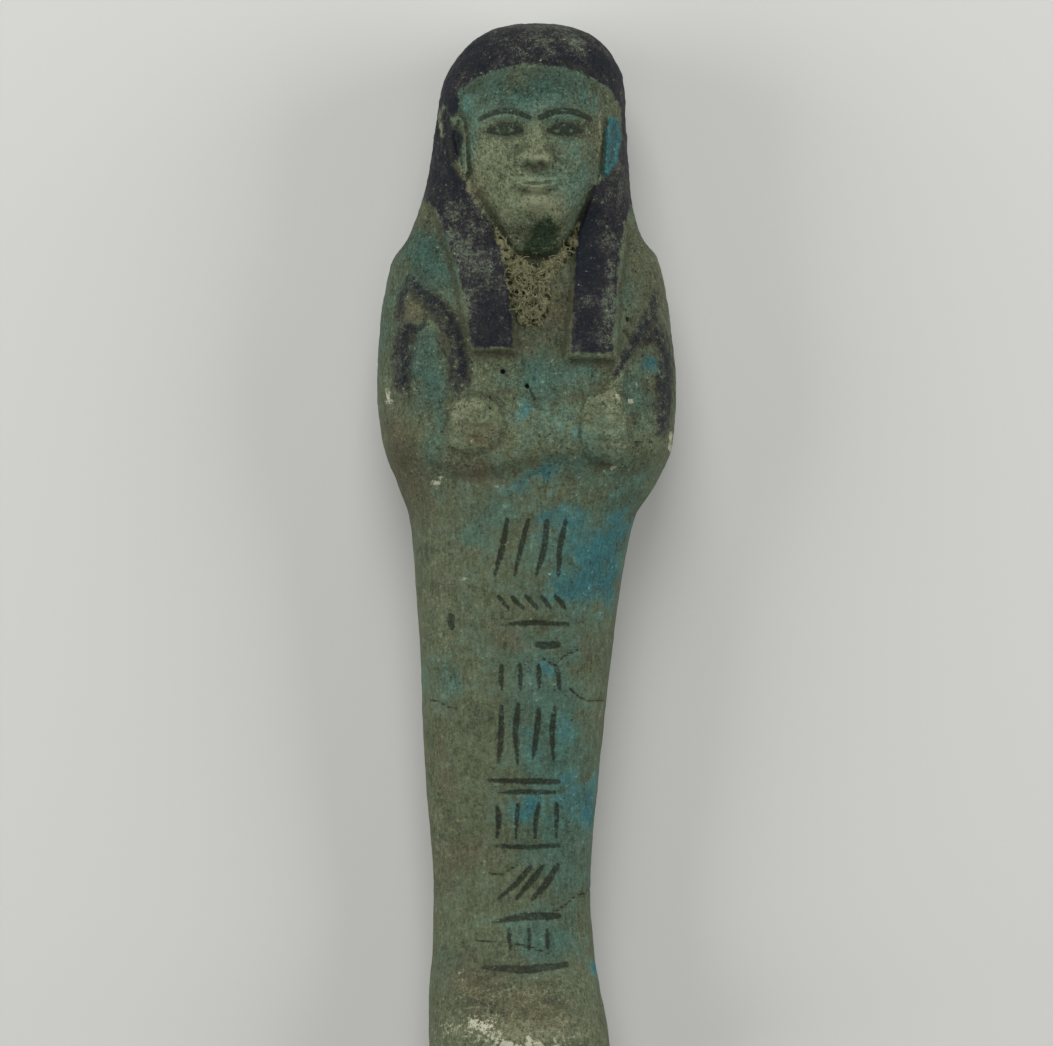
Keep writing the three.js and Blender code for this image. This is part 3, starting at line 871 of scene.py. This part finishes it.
def ease_out(values, times):
    """The grid's values after this many rounds of averaging with their neighbours."""
    for _ in range(times):
        padded = np.concatenate([values[:1], values, values[-1:]])
        values = (padded[:-2] + padded[2:] + np.roll(values, 1, 1) + np.roll(values, -1, 1)) / 4
    return values


surface = points[:-2].reshape(rows, columns, 3)
normals = point_normals(mesh)[:-2].reshape(rows, columns, 3)


def standing_out(near, wide, scale):
    """How far each point stands out of its near surroundings, past what the wider form does there.

    It runs from -1 in a hollow to 1 on a ridge, and is a half of that where the step is as high as scale.
    """
    height_above = np.sum((surface - ease_out(surface, near)) * normals, axis=-1)
    step = height_above - ease_out(height_above, wide)
    return step / (scale + np.abs(step))


def add_field(mesh, name, values):
    """A value at each point of the mesh, for its material or its nodes to read."""
    mesh.attributes.new(name, "FLOAT", "POINT").data.foreach_set("value", values.astype(np.float32))


def new_object(name, data):
    made = bpy.data.objects.new(name, data)
    bpy.context.scene.collection.objects.link(made)
    return made


# Each field, with its values at the crown and at the soles.
fields = {
    "wig_paint": (wig_paint, 3.0, OUTSIDE),
    "line_paint": (line_paint, OUTSIDE, OUTSIDE),
    "hoe_paint": (hoe_paint, OUTSIDE, OUTSIDE),
    "hoe_line": (hoe_line, OUTSIDE, OUTSIDE),
    "face_paint": (face_paint, OUTSIDE, OUTSIDE),
    "blue": (blue, 0.0, 0.0),
    "teal": (teal, 0.3, 0.0),
    "brown": (brown, 0.0, 0.5),
    "worn": (worn, 0.3, 0.8),
    "core": (core, 0.0, 0.3),
    "glaze_pool_and_shade": (glaze_pool_and_shade, 0.0, 0.0),
    "grit": (grit, 1.0, 0.5),
    "dirt_and_painted_shadow": (dirt_and_painted_shadow, 0.0, 0.2),
    "painted_light_and_shade": (painted_light_and_shade, 0.0, 0.0),
    "rubbed": (rubbed, 0.9, 0.0),
    "crack": (crack, -OUTSIDE, -OUTSIDE),
    "chip": (chip, OUTSIDE, OUTSIDE),
    "hole": (hole, OUTSIDE, OUTSIDE),
    "earth": (earth, OUTSIDE, OUTSIDE),
    "ridge": (standing_out(12, 40, 0.05), 0.0, 0.0),
    "form": (standing_out(120, 300, 0.3), 0.0, 0.0),
    "net": (on_grid(web), 0.0, 0.0),
}
for name, (field, crown_value, sole_value) in fields.items():
    add_field(mesh, name, at_points(np.broadcast_to(field, x.shape), crown_value, sole_value))
figure = new_object("faience_figure", mesh)


def feed(tree, socket, value):
    """Set an input to a value, or link it to the output that gives it."""
    if isinstance(value, bpy.types.NodeSocket):
        tree.links.new(value, socket)
    else:
        socket.default_value = value


def put(tree, kind, values=None, **settings):
    """A node of this kind, with its settings, and with a value or a link for each named input."""
    made = tree.nodes.new(kind)
    for key, value in settings.items():
        setattr(made, key, value)
    for key, value in (values or {}).items():
        feed(tree, made.inputs[key], value)
    return made


def tree_of(*values):
    """The node tree of the first value that is a socket."""
    return next(value.id_data for value in values if isinstance(value, bpy.types.NodeSocket))


def reckon(operation, *values):
    return put(tree_of(*values), "ShaderNodeMath", dict(enumerate(values)), operation=operation).outputs[0]


def reckon_vector(operation, *values):
    made = put(tree_of(*values), "ShaderNodeVectorMath", dict(enumerate(values)), operation=operation)
    return made.outputs[0]


def scaled(place, scale):
    made = put(tree_of(place), "ShaderNodeVectorMath", {0: place, "Scale": scale}, operation="SCALE")
    return made.outputs[0]


def in_millimetres(tree):
    """The place on the piece, in millimetres."""
    return scaled(put(tree, "ShaderNodeTexCoord").outputs["Object"], 1 / MM)


def both(*values):
    """The product of all the values."""
    product = values[0]
    for value in values[1:]:
        product = reckon("MULTIPLY", product, value)
    return product


def ramp(value, low, high, to_low=0.0, to_high=1.0):
    """A smooth step from to_low, below low, to to_high, above high."""
    values = {"Value": value, "From Min": low, "From Max": high, "To Min": to_low, "To Max": to_high}
    made = put(tree_of(value), "ShaderNodeMapRange", values, interpolation_type="SMOOTHSTEP")
    return made.outputs["Result"]


def blend_colour(factor, a, b, how="MIX"):
    tree = tree_of(factor, a, b)
    made = put(tree, "ShaderNodeMix", data_type="RGBA", blend_type=how)
    sockets = {socket.identifier: socket for socket in made.inputs}
    feed(tree, sockets["Factor_Float"], factor)
    for key, colour in (("A_Color", a), ("B_Color", b)):
        feed(tree, sockets[key], (*colour, 1) if isinstance(colour, tuple) else colour)
    return next(socket for socket in made.outputs if socket.identifier == "Result_Color")


def cloud_value(place, size, detail=3.0, rough=0.55, shift=0.0):
    """Noise from 0 to 1 with features of this size, in the units of the place."""
    moved = reckon_vector("ADD", place, (shift, shift * 0.7, -shift))
    values = {"Vector": moved, "Scale": 1 / size, "Detail": detail, "Roughness": rough}
    return put(tree_of(place), "ShaderNodeTexNoise", values).outputs["Fac"]


def new_group(name, inputs, outputs, kind="ShaderNodeTree"):
    """A node group with these inputs, as (name, type, value), and outputs, as (name, type).

    It comes with the sockets of its inputs and of its outputs.
    """
    tree = bpy.data.node_groups.new(name, kind)
    for label, socket_type, value in inputs:
        socket = tree.interface.new_socket(label, in_out="INPUT", socket_type=socket_type)
        if value is not None:
            socket.default_value = value
    for label, socket_type in outputs:
        tree.interface.new_socket(label, in_out="OUTPUT", socket_type=socket_type)
    return tree, put(tree, "NodeGroupInput").outputs, put(tree, "NodeGroupOutput").inputs


def place_group(group, **values):
    """A copy of a shader group, where size=0.3 sets its input called Size."""
    tree = tree_of(*values.values())
    named = {key.capitalize(): value for key, value in values.items()}
    return put(tree, "ShaderNodeGroup", named, node_tree=group)


def new_material(name):
    """A new material, its node tree and its shader."""
    material = bpy.data.materials.new(name)
    material.use_nodes = True
    return material, material.node_tree, material.node_tree.nodes["Principled BSDF"]


def make_grain():
    """The grain of ancient faience: a fine sandy speckle, and pinholes that the glaze left open."""
    tree, given, result = new_group(
        "Faience grain",
        [
            ("Place", "NodeSocketVector", None),
            ("Size", "NodeSocketFloat", 0.3),
            ("Pinholes", "NodeSocketFloat", 0.5),
        ],
        [("Speckle", "NodeSocketFloat"), ("Pinhole", "NodeSocketFloat"), ("Height", "NodeSocketFloat")],
    )
    sized = scaled(given["Place"], reckon("DIVIDE", 1.0, given["Size"]))
    speckle = cloud_value(sized, 1.0, 4.0, 0.7)
    cells = put(tree, "ShaderNodeTexVoronoi", {"Vector": sized, "Scale": 0.55, "Randomness": 1.0})
    few = put(tree, "ShaderNodeTexNoise", {"Vector": sized, "Scale": 0.23, "Detail": 1.0})
    open_here = ramp(few.outputs["Fac"], 0.52, 0.6)
    dot = ramp(cells.outputs["Distance"], 0.08, 0.24, 1.0, 0.0)
    pinhole = both(dot, open_here, given["Pinholes"])
    tree.links.new(speckle, result["Speckle"])
    tree.links.new(pinhole, result["Pinhole"])
    tree.links.new(reckon("SUBTRACT", speckle, pinhole), result["Height"])
    return tree


def make_ragged_edge():
    """The edge of paint or a chip: a distance in millimetres becomes a mask with a wandering edge."""
    tree, given, result = new_group(
        "Ragged edge",
        [
            ("Distance", "NodeSocketFloat", 0.0),
            ("Place", "NodeSocketVector", None),
            ("Wander", "NodeSocketFloat", 0.3),
            ("Softness", "NodeSocketFloat", 0.1),
            ("Size", "NodeSocketFloat", 0.8),
        ],
        [("Mask", "NodeSocketFloat")],
    )
    sized = scaled(given["Place"], reckon("DIVIDE", 1.0, given["Size"]))
    wander = reckon("SUBTRACT", cloud_value(sized, 1.0, 4.0, 0.65), 0.5)
    moved = reckon("ADD", given["Distance"], both(wander, given["Wander"], 2.0))
    mask = ramp(moved, reckon("MULTIPLY", given["Softness"], -1.0), given["Softness"])
    tree.links.new(mask, result["Mask"])
    return tree


# Worn copper glaze, from olive to teal, with clear blue where it lies thick, cream where the quartz core
# shows through, and manganese paint that has sunk in and rubbed thin.
GLAZE_OLIVE = (0.082, 0.098, 0.056)
GLAZE_TEAL = (0.056, 0.096, 0.068)
GLAZE_SEA = (0.036, 0.088, 0.070)
GLAZE_BLUE = (0.022, 0.090, 0.098)
GLAZE_TURQUOISE = (0.064, 0.142, 0.118)
# Some of these colours also stand in for painted shade: the stain brown, the pool green and the dirt brown in
# part, and the pinhole and hole darks.
STAIN_AND_SHADE_BROWN = (0.078, 0.070, 0.040)
POOL_AND_SHADE_GREEN = (0.022, 0.038, 0.018)
CORE_CREAM = (0.200, 0.216, 0.130)
CORE_WHITE = (0.46, 0.46, 0.34)
PAINT_BLACK = (0.005, 0.008, 0.012)
PAINT_PURPLE = (0.022, 0.019, 0.022)
PAINT_RUBBED = (0.060, 0.070, 0.054)
HOE_GREY = (0.028, 0.029, 0.024)
LINE_BLACK = (0.014, 0.019, 0.012)
EARTH_SAND = (0.165, 0.165, 0.088)
EARTH_DARK = (0.022, 0.019, 0.010)
SHADE_AND_DIRT_BROWN = (0.036, 0.034, 0.019)
PINHOLE_SHADE = (0.010, 0.012, 0.008)
HOLE_SHADE = (0.006, 0.008, 0.007)

grain_group = make_grain()
edge_group = make_ragged_edge()
faience, glaze, shader = new_material("worn_faience")
place = in_millimetres(glaze)
grain = place_group(grain_group, place=place, size=0.34, pinholes=0.9)
fine = place_group(grain_group, place=place, size=0.14, pinholes=0.4)
fleck_place = reckon_vector("ADD", place, (40, 17, 9))
flecks = place_group(grain_group, place=fleck_place, size=0.22, pinholes=0.5)
speckle = grain.outputs["Speckle"]
fine_speckle = fine.outputs["Speckle"]
broad = cloud_value(place, 9.0, 3.0, 0.55)
middling = cloud_value(place, 2.6, 4.0, 0.6, shift=31.0)
small = cloud_value(place, 0.8, 4.0, 0.65, shift=57.0)
slanted = put(glaze, "ShaderNodeMapping", {"Vector": place, "Rotation": (0, 0, 0.7), "Scale": (1, 0.22, 1)})
wiped = cloud_value(slanted.outputs[0], 0.35, 3.0, 0.6, shift=11.0)


def field_value(name):
    return put(glaze, "ShaderNodeAttribute", attribute_name=name).outputs["Fac"]


def add_noise(value, *parts):
    """The value with each (noise, strength) added, the noise centred on 0."""
    for noise_value, strength in parts:
        value = reckon("ADD", value, both(reckon("SUBTRACT", noise_value, 0.5), strength))
    return value


def ragged(name, wander, softness, size):
    """A mask of the field of this name, with a ragged edge."""
    values = {"distance": field_value(name), "wander": wander, "softness": softness, "size": size}
    return place_group(edge_group, place=place, **values).outputs["Mask"]


# The glaze itself.
ridge, form, grit = (field_value(name) for name in ("ridge", "form", "grit"))
teal = add_noise(field_value("teal"), (broad, 2.4), (middling, 2.4), (small, 0.9))
colour = blend_colour(ramp(teal, 0.0, 1.0), GLAZE_OLIVE, GLAZE_TEAL)
colour = blend_colour(ramp(teal, 0.9, 1.9, 0.0, 0.9), colour, GLAZE_SEA)
# Brown stains, and in a few spots painted shade under the left fist and forearm.
brown = add_noise(field_value("brown"), (middling, 2.2), (small, 1.2))
colour = blend_colour(ramp(brown, 0.1, 1.3, 0.0, 0.8), colour, STAIN_AND_SHADE_BROWN)
light = add_noise(field_value("blue"), (middling, 1.7), (small, 1.0))
colour = blend_colour(ramp(light, 0.15, 0.9, 0.0, 0.5), colour, GLAZE_TURQUOISE)
colour = blend_colour(ramp(light, 0.35, 1.3, 0.0, 0.92), colour, GLAZE_BLUE)
# The pooled green in the neck, partly painted shade under the chin.
pool_and_shade_edge = add_noise(field_value("glaze_pool_and_shade"), (small, 0.7))
colour = blend_colour(ramp(pool_and_shade_edge, 0.25, 0.9), colour, POOL_AND_SHADE_GREEN)

# Grain and cloudiness, coarser towards the head and the feet, and faint marks of wiping. The broad high
# forms are painted lighter and the broad hollows darker, as painted light and shade, and the spots of
# painted light and shade darken or lighten the whole.
tone_and_painted_shade = add_noise(1.0, (broad, 0.5), (middling, 1.2), (small, 1.2), (wiped, 1.1))
grainy = add_noise(0.0, (speckle, 2.8), (fine_speckle, 2.8))
tone_and_painted_shade = reckon("ADD", tone_and_painted_shade, both(grainy, reckon("ADD", grit, 0.2)))
tone_and_painted_shade = reckon("ADD", tone_and_painted_shade, both(form, 0.25))
tone_and_painted_shade = both(reckon("MAXIMUM", tone_and_painted_shade, 0.2), reckon("SUBTRACT", 1.0, field_value("painted_light_and_shade")))
grey = put(glaze, "ShaderNodeCombineColor", {"Red": tone_and_painted_shade, "Green": tone_and_painted_shade, "Blue": tone_and_painted_shade}).outputs[0]
colour = blend_colour(1.0, colour, grey, "MULTIPLY")

# Wear takes the glaze off the ridges and the high forms, first in grains and then in patches.
wear_value = reckon("ADD", field_value("worn"), both(ridge, 0.3))
wear_value = add_noise(wear_value, (speckle, 2.8), (small, 2.0), (fine_speckle, 2.2))
wear = ramp(wear_value, 0.3, 1.6)
colour = blend_colour(both(wear, 0.85), colour, CORE_CREAM)

# Paint lies over the glaze. Rubbing first turns it to a thin grey film and then shows the glaze in grains.
rub = add_noise(field_value("rubbed"), (broad, 0.8), (middling, 2.6), (small, 2.6))
rub = add_noise(rub, (speckle, 3.2), (fine_speckle, 3.6))
film = blend_colour(ramp(rub, -0.2, 0.7), PAINT_BLACK, PAINT_PURPLE)
film = blend_colour(ramp(rub, 0.6, 1.3), film, PAINT_RUBBED)
wig_mask = both(ragged("wig_paint", 0.7, 0.2, 1.2), ramp(rub, 1.0, 2.0, 1.0, 0.25))
colour = blend_colour(wig_mask, colour, film)
scuffed = add_noise(0.5, (middling, 1.2), (small, 2.0), (speckle, 2.0), (fine_speckle, 2.4))
hoe_colour = blend_colour(ramp(scuffed, -0.1, 0.7), PAINT_BLACK, HOE_GREY)
hoe_mask = both(ragged("hoe_paint", 0.9, 0.4, 0.9), ramp(scuffed, 0.3, 1.3, 0.97, 0.35))
colour = blend_colour(hoe_mask, colour, hoe_colour)
hoe_line_mask = both(ragged("hoe_line", 0.3, 0.15, 0.5), ramp(scuffed, 0.2, 1.3, 0.75, 0.1))
colour = blend_colour(hoe_line_mask, colour, PAINT_BLACK)
line_mask = both(ragged("line_paint", 0.2, 0.1, 0.4), ramp(scuffed, 0.3, 1.5, 0.95, 0.35))
colour = blend_colour(line_mask, colour, LINE_BLACK)
face_mask = both(ragged("face_paint", 0.2, 0.1, 0.4), ramp(scuffed, 0.5, 1.5, 0.92, 0.4))
colour = blend_colour(face_mask, colour, LINE_BLACK)

# Brown darkens the hollows and the creases, partly as dirt and partly as painted shade, and lies
# under both lappets as painted shadow. The pinholes and holes are darkened with painted shade, and the
# cracks hold dark dirt. Chips and the broken toes show the white core.
dirt_and_painted_shadow = ramp(add_noise(field_value("dirt_and_painted_shadow"), (small, 0.8)), 0.0, 1.0, 0.0, 0.75)
dirt_and_painted_shade = reckon("MAXIMUM", ramp(ridge, -0.9, -0.25, 0.6, 0.0), dirt_and_painted_shadow)
colour = blend_colour(dirt_and_painted_shade, colour, SHADE_AND_DIRT_BROWN)
# Painted shade in the pinholes.
pinhole_shade = both(grain.outputs["Pinhole"], reckon("ADD", grit, 0.15), 0.9)
colour = blend_colour(pinhole_shade, colour, PINHOLE_SHADE)
fleck_mask = both(flecks.outputs["Pinhole"], reckon("ADD", both(grit, 0.5), 0.1))
colour = blend_colour(fleck_mask, colour, CORE_CREAM)
crack_edge = add_noise(field_value("crack"), (fine_speckle, 0.3), (small, 0.3))
crack_mask = ramp(crack_edge, 0.03, 0.15, 0.85, 0.0)
colour = blend_colour(crack_mask, colour, EARTH_DARK)
core_value = add_noise(field_value("core"), (small, 2.6), (speckle, 2.0), (fine_speckle, 1.2))
chip_mask = both(ragged("chip", 0.4, 0.12, 0.3), ramp(speckle, 0.3, 0.6, 0.4, 0.8))
core_mask = reckon("MAXIMUM", chip_mask, ramp(core_value, 0.55, 1.15, 0.0, 0.85))
colour = blend_colour(core_mask, colour, CORE_WHITE)
# The holes are filled with near-black painted shade.
colour = blend_colour(ramp(field_value("hole"), -0.03, 0.1), colour, HOLE_SHADE)

# The lump of earth under the strands is sandy on its net of ridges and darker in its hollows, as painted
# shade.
earth_mask = ragged("earth", 0.7, 0.12, 0.9)
net = add_noise(field_value("net"), (speckle, 1.4), (fine_speckle, 1.4))
earth_colour = blend_colour(ramp(net, -0.7, 0.6), EARTH_DARK, EARTH_SAND)
colour = blend_colour(earth_mask, colour, earth_colour)
glaze.links.new(colour, shader.inputs["Base Color"])

# Bare core and earth are duller than the glaze.
GLOSS = 0.12
bare = reckon("MAXIMUM", reckon("MAXIMUM", wear, core_mask), earth_mask)
roughness = reckon("ADD", ramp(small, 0.3, 0.7, 0.56, 0.74), both(bare, 0.2))
glaze.links.new(roughness, shader.inputs["Roughness"])
shader.inputs["Specular IOR Level"].default_value = GLOSS

# The relief that is too fine for the mesh, as parts that add up to a height in millimetres.
relief = both(grain.outputs["Height"], reckon("ADD", both(grit, 0.18), 0.04))
for part in (
    both(fine.outputs["Height"], 0.035),
    both(small, 0.14),
    both(middling, 0.14),
    both(wear, -0.03),
    both(crack_mask, -0.08),
    both(earth_mask, speckle, 0.3),
):
    relief = reckon("ADD", relief, part)
bump = put(glaze, "ShaderNodeBump", {"Strength": 0.9, "Distance": MM, "Height": relief})
glaze.links.new(bump.outputs["Normal"], shader.inputs["Normal"])

mesh.materials.append(faience)
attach(figure, "root")
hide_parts(NODE)

# The earth under the chin: sandy crumbs matted with fine roots, left by the ground that the figure lay in.
# It clings to the crease of the neck by itself. The crumbs and the tangled roots are strewn over a patch of
# the figure's own surface. The sizes are in millimetres here too.
EARTH_EDGE = 0.2  # how far inside the patch the roots start
STRAND_LENGTH = 3.8
STRAND_RADIUS = 0.036
CRUMB_RADIUS = 0.06
TANGLE = 1.2  # how far a root is pulled off its line
SWIRL = 1.0  # the size of the eddies that pull it
STRAND_STEPS = 14
STRAND_SIDES = 4
ROOT_RELIEF = 0.04
ROOT_DARK = (0.100, 0.100, 0.052)
ROOT_PALE = (0.24, 0.238, 0.130)

inside_patch = at_points(earth) > EARTH_EDGE
patch_faces = [quad for quad in quads.tolist() if all(inside_patch[i] for i in quad)]
used = sorted({i for quad in patch_faces for i in quad})
renumber = {old: new for new, old in enumerate(used)}
patch = bpy.data.meshes.new("earth_strands")
patch.from_pydata(points[used] * MM, [], [[renumber[i] for i in quad] for quad in patch_faces])
patch.update()
add_field(patch, "depth_in", at_points(earth)[used])
strands = new_object("earth_strands", patch)

earth_material, tree, shader = new_material("matted_earth")
grain = place_group(grain_group, place=in_millimetres(tree), size=0.3, pinholes=0.0)
colour = blend_colour(ramp(grain.outputs["Speckle"], 0.35, 0.62), ROOT_DARK, ROOT_PALE)
tree.links.new(colour, shader.inputs["Base Color"])
shader.inputs["Roughness"].default_value = 0.9
earth_relief = {"Strength": 0.8, "Distance": ROOT_RELIEF * MM, "Height": grain.outputs["Height"]}
bump = put(tree, "ShaderNodeBump", earth_relief)
tree.links.new(bump.outputs["Normal"], shader.inputs["Normal"])

tree, given, result = new_group(
    "Matted earth",
    [
        ("Geometry", "NodeSocketGeometry", None),
        ("Strands per square metre", "NodeSocketFloat", 6.5e6),
        ("Crumbs per square metre", "NodeSocketFloat", 2e6),
        ("Strand length", "NodeSocketFloat", STRAND_LENGTH * MM),
        ("Strand radius", "NodeSocketFloat", STRAND_RADIUS * MM),
        ("Crumb radius", "NodeSocketFloat", CRUMB_RADIUS * MM),
        ("Tangle", "NodeSocketFloat", TANGLE * MM),
        ("Seed", "NodeSocketInt", 4),
        ("Material", "NodeSocketMaterial", None),
    ],
    [("Geometry", "NodeSocketGeometry")],
    "GeometryNodeTree",
)


def strewn_over(patch, density):
    """Points at random over the patch, so many to a square metre."""
    values = {"Mesh": patch, "Density": density, "Seed": given["Seed"]}
    return put(tree, "GeometryNodeDistributePointsOnFaces", values).outputs


def one_at_each(points, instance, rotation, scale):
    values = {"Points": points["Points"], "Instance": instance, "Rotation": rotation, "Scale": scale}
    return put(tree, "GeometryNodeInstanceOnPoints", values).outputs["Instances"]


def random_vector(low, high):
    values = {"Min": low, "Max": high}
    return put(tree, "FunctionNodeRandomValue", values, data_type="FLOAT_VECTOR").outputs["Value"]


# A root starts as a straight line that lies on the patch, turned at random, and shorter near the edge.
starts = strewn_over(given["Geometry"], given["Strands per square metre"])
half = reckon("MULTIPLY", given["Strand length"], 0.5)
start = put(tree, "ShaderNodeCombineXYZ", {"X": reckon("MULTIPLY", half, -1.0)})
end = put(tree, "ShaderNodeCombineXYZ", {"X": half})
strand = put(tree, "GeometryNodeCurvePrimitiveLine", {"Start": start.outputs[0], "End": end.outputs[0]})
turned = put(
    tree,
    "FunctionNodeRotateRotation",
    {"Rotation": starts["Rotation"], "Rotate By": random_vector((-0.1, -0.1, 0.6), (0.1, 0.1, 2.5))},
    rotation_space="LOCAL",
)
chance = put(tree, "FunctionNodeRandomValue", {"Min": 0.5, "Max": 1.2}, data_type="FLOAT")
depth_in = put(tree, "GeometryNodeInputNamedAttribute", {"Name": "depth_in"}, data_type="FLOAT")
shorter = ramp(depth_in.outputs["Attribute"], 0.2, 1.6, 0.3, 1.0)
length = reckon("MULTIPLY", next(socket for socket in chance.outputs if socket.enabled), shorter)
laid = one_at_each(starts, strand.outputs["Curve"], turned.outputs["Rotation"], length)

# It is pulled about by noise, more along the surface than off it, and is thickest in its middle.
loose = put(tree, "GeometryNodeRealizeInstances", {"Geometry": laid})
stepped = put(tree, "GeometryNodeResampleCurve", {"Curve": loose.outputs["Geometry"], "Count": STRAND_STEPS})
where = put(tree, "GeometryNodeInputPosition").outputs[0]
swirl = put(tree, "ShaderNodeTexNoise", {"Vector": where, "Scale": 1 / (SWIRL * MM), "Detail": 2.0})
centred = reckon_vector("SUBTRACT", swirl.outputs["Color"], (0.5, 0.5, 0.45))
pull = scaled(reckon_vector("MULTIPLY", centred, (1, 1, 0.3)), given["Tangle"])
tangled = put(tree, "GeometryNodeSetPosition", {"Geometry": stepped.outputs["Curve"], "Offset": pull})
along = put(tree, "GeometryNodeSplineParameter").outputs["Factor"]
taper = reckon("POWER", reckon("SINE", reckon("MULTIPLY", along, math.pi)), 0.6)
tapered = put(
    tree,
    "GeometryNodeSetCurveRadius",
    {"Curve": tangled.outputs["Geometry"], "Radius": reckon("ADD", taper, 0.1)},
)
circle = {"Resolution": STRAND_SIDES, "Radius": given["Strand radius"]}
round_section = put(tree, "GeometryNodeCurvePrimitiveCircle", circle)
tubes = put(
    tree,
    "GeometryNodeCurveToMesh",
    {"Curve": tapered.outputs["Curve"], "Profile Curve": round_section.outputs["Curve"], "Fill Caps": True},
)

# The crumbs are small lumps, each squashed in its own way.
crumbs_at = strewn_over(given["Geometry"], given["Crumbs per square metre"])
crumb = put(tree, "GeometryNodeMeshIcoSphere", {"Radius": given["Crumb radius"], "Subdivisions": 1})
squashed = random_vector((0.5, 0.5, 0.4), (1.6, 1.3, 1.1))
crumbs = one_at_each(crumbs_at, crumb.outputs["Mesh"], crumbs_at["Rotation"], squashed)

joined = put(tree, "GeometryNodeJoinGeometry")
tree.links.new(crumbs, joined.inputs[0])
tree.links.new(tubes.outputs["Mesh"], joined.inputs[0])
solid = put(tree, "GeometryNodeRealizeInstances", {"Geometry": joined.outputs[0]})
dressed = put(tree, "GeometryNodeSetMaterial", {"Geometry": solid.outputs[0], "Material": given["Material"]})
tree.links.new(dressed.outputs[0], result[0])

modifier = strands.modifiers.new("Matted earth", "NODES")
modifier.node_group = tree
for item in tree.interface.items_tree:
    if item.in_out == "INPUT" and item.name == "Material":
        modifier[item.identifier] = earth_material
evaluated = strands.evaluated_get(bpy.context.evaluated_depsgraph_get())
matted = bpy.data.meshes.new_from_object(evaluated)
matted.name = "earth_strands"
strands.modifiers.clear()
strands.data = matted
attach(strands, "root")

# The floor: a plain pale sheet that the figure lies on. It is there for the view, and isn't a piece of the
# object. Its size is in metres.
FLOOR_HALF = 2.0
FLOOR_GREY = (0.52, 0.52, 0.50)
floor_mesh = bpy.data.meshes.new("floor")
corners = [(-1, -1), (1, -1), (1, 1), (-1, 1)]
floor_mesh.from_pydata([(a * FLOOR_HALF, b * FLOOR_HALF, 0) for a, b in corners], [], [(0, 1, 2, 3)])
floor = new_object("floor", floor_mesh)
floor_material, _, shader = new_material("pale_floor")
shader.inputs["Base Color"].default_value = (*FLOOR_GREY, 1)
shader.inputs["Roughness"].default_value = 0.85
floor_mesh.materials.append(floor_material)

# Soft studio light: square lamps beyond the crown, at both sides and overhead, and a faint even sky. Each
# lamp has its place and its side in metres, and its power in watts, and faces the figure.
LAMPS = {
    "key_lamp": ((-0.04, 0.48, 0.50), 0.35, 2.6),
    "left_lamp": ((-0.48, 0.02, 0.24), 0.40, 2.3),
    "right_lamp": ((0.48, 0.06, 0.24), 0.40, 2.3),
    "top_lamp": ((0.0, 0.05, 0.90), 0.60, 1.3),
}
SKY_STRENGTH = 0.10
aim = Vector((0, 0, 0.01))
for name, (lamp_place, side, power) in LAMPS.items():
    lamp = bpy.data.lights.new(name, "AREA")
    lamp.size = side
    lamp.energy = power
    placed = new_object(name, lamp)
    placed.location = lamp_place
    placed.rotation_euler = (aim - Vector(lamp_place)).to_track_quat("-Z", "Y").to_euler()
world = bpy.data.worlds.new("studio")
world.use_nodes = True
sky = world.node_tree.nodes["Background"]
sky.inputs["Color"].default_value = (1, 1, 1, 1)
sky.inputs["Strength"].default_value = SKY_STRENGTH
bpy.context.scene.world = world
bpy.context.scene.view_settings.view_transform = "Standard"

# The camera looks straight down from above the chest, from far off, and its frame ends just above the soles.
FRAME_WIDTH = 0.1159  # at the figure's half height, in metres
CAMERA_MIDDLE = 2.9  # above the middle of the figure, in millimetres
LENS = 240  # long, so that the high parts of the figure hardly shift
SENSOR = 36
half_height = (figure_low.z + figure_high.z) / 2
camera = bpy.data.cameras.new("camera")
camera.lens = LENS
camera.sensor_width = SENSOR
camera.clip_start = 0.01
placed = new_object("camera", camera)
placed.location = (0, CAMERA_MIDDLE * MM, half_height + FRAME_WIDTH * camera.lens / camera.sensor_width)
bpy.context.scene.camera = placed
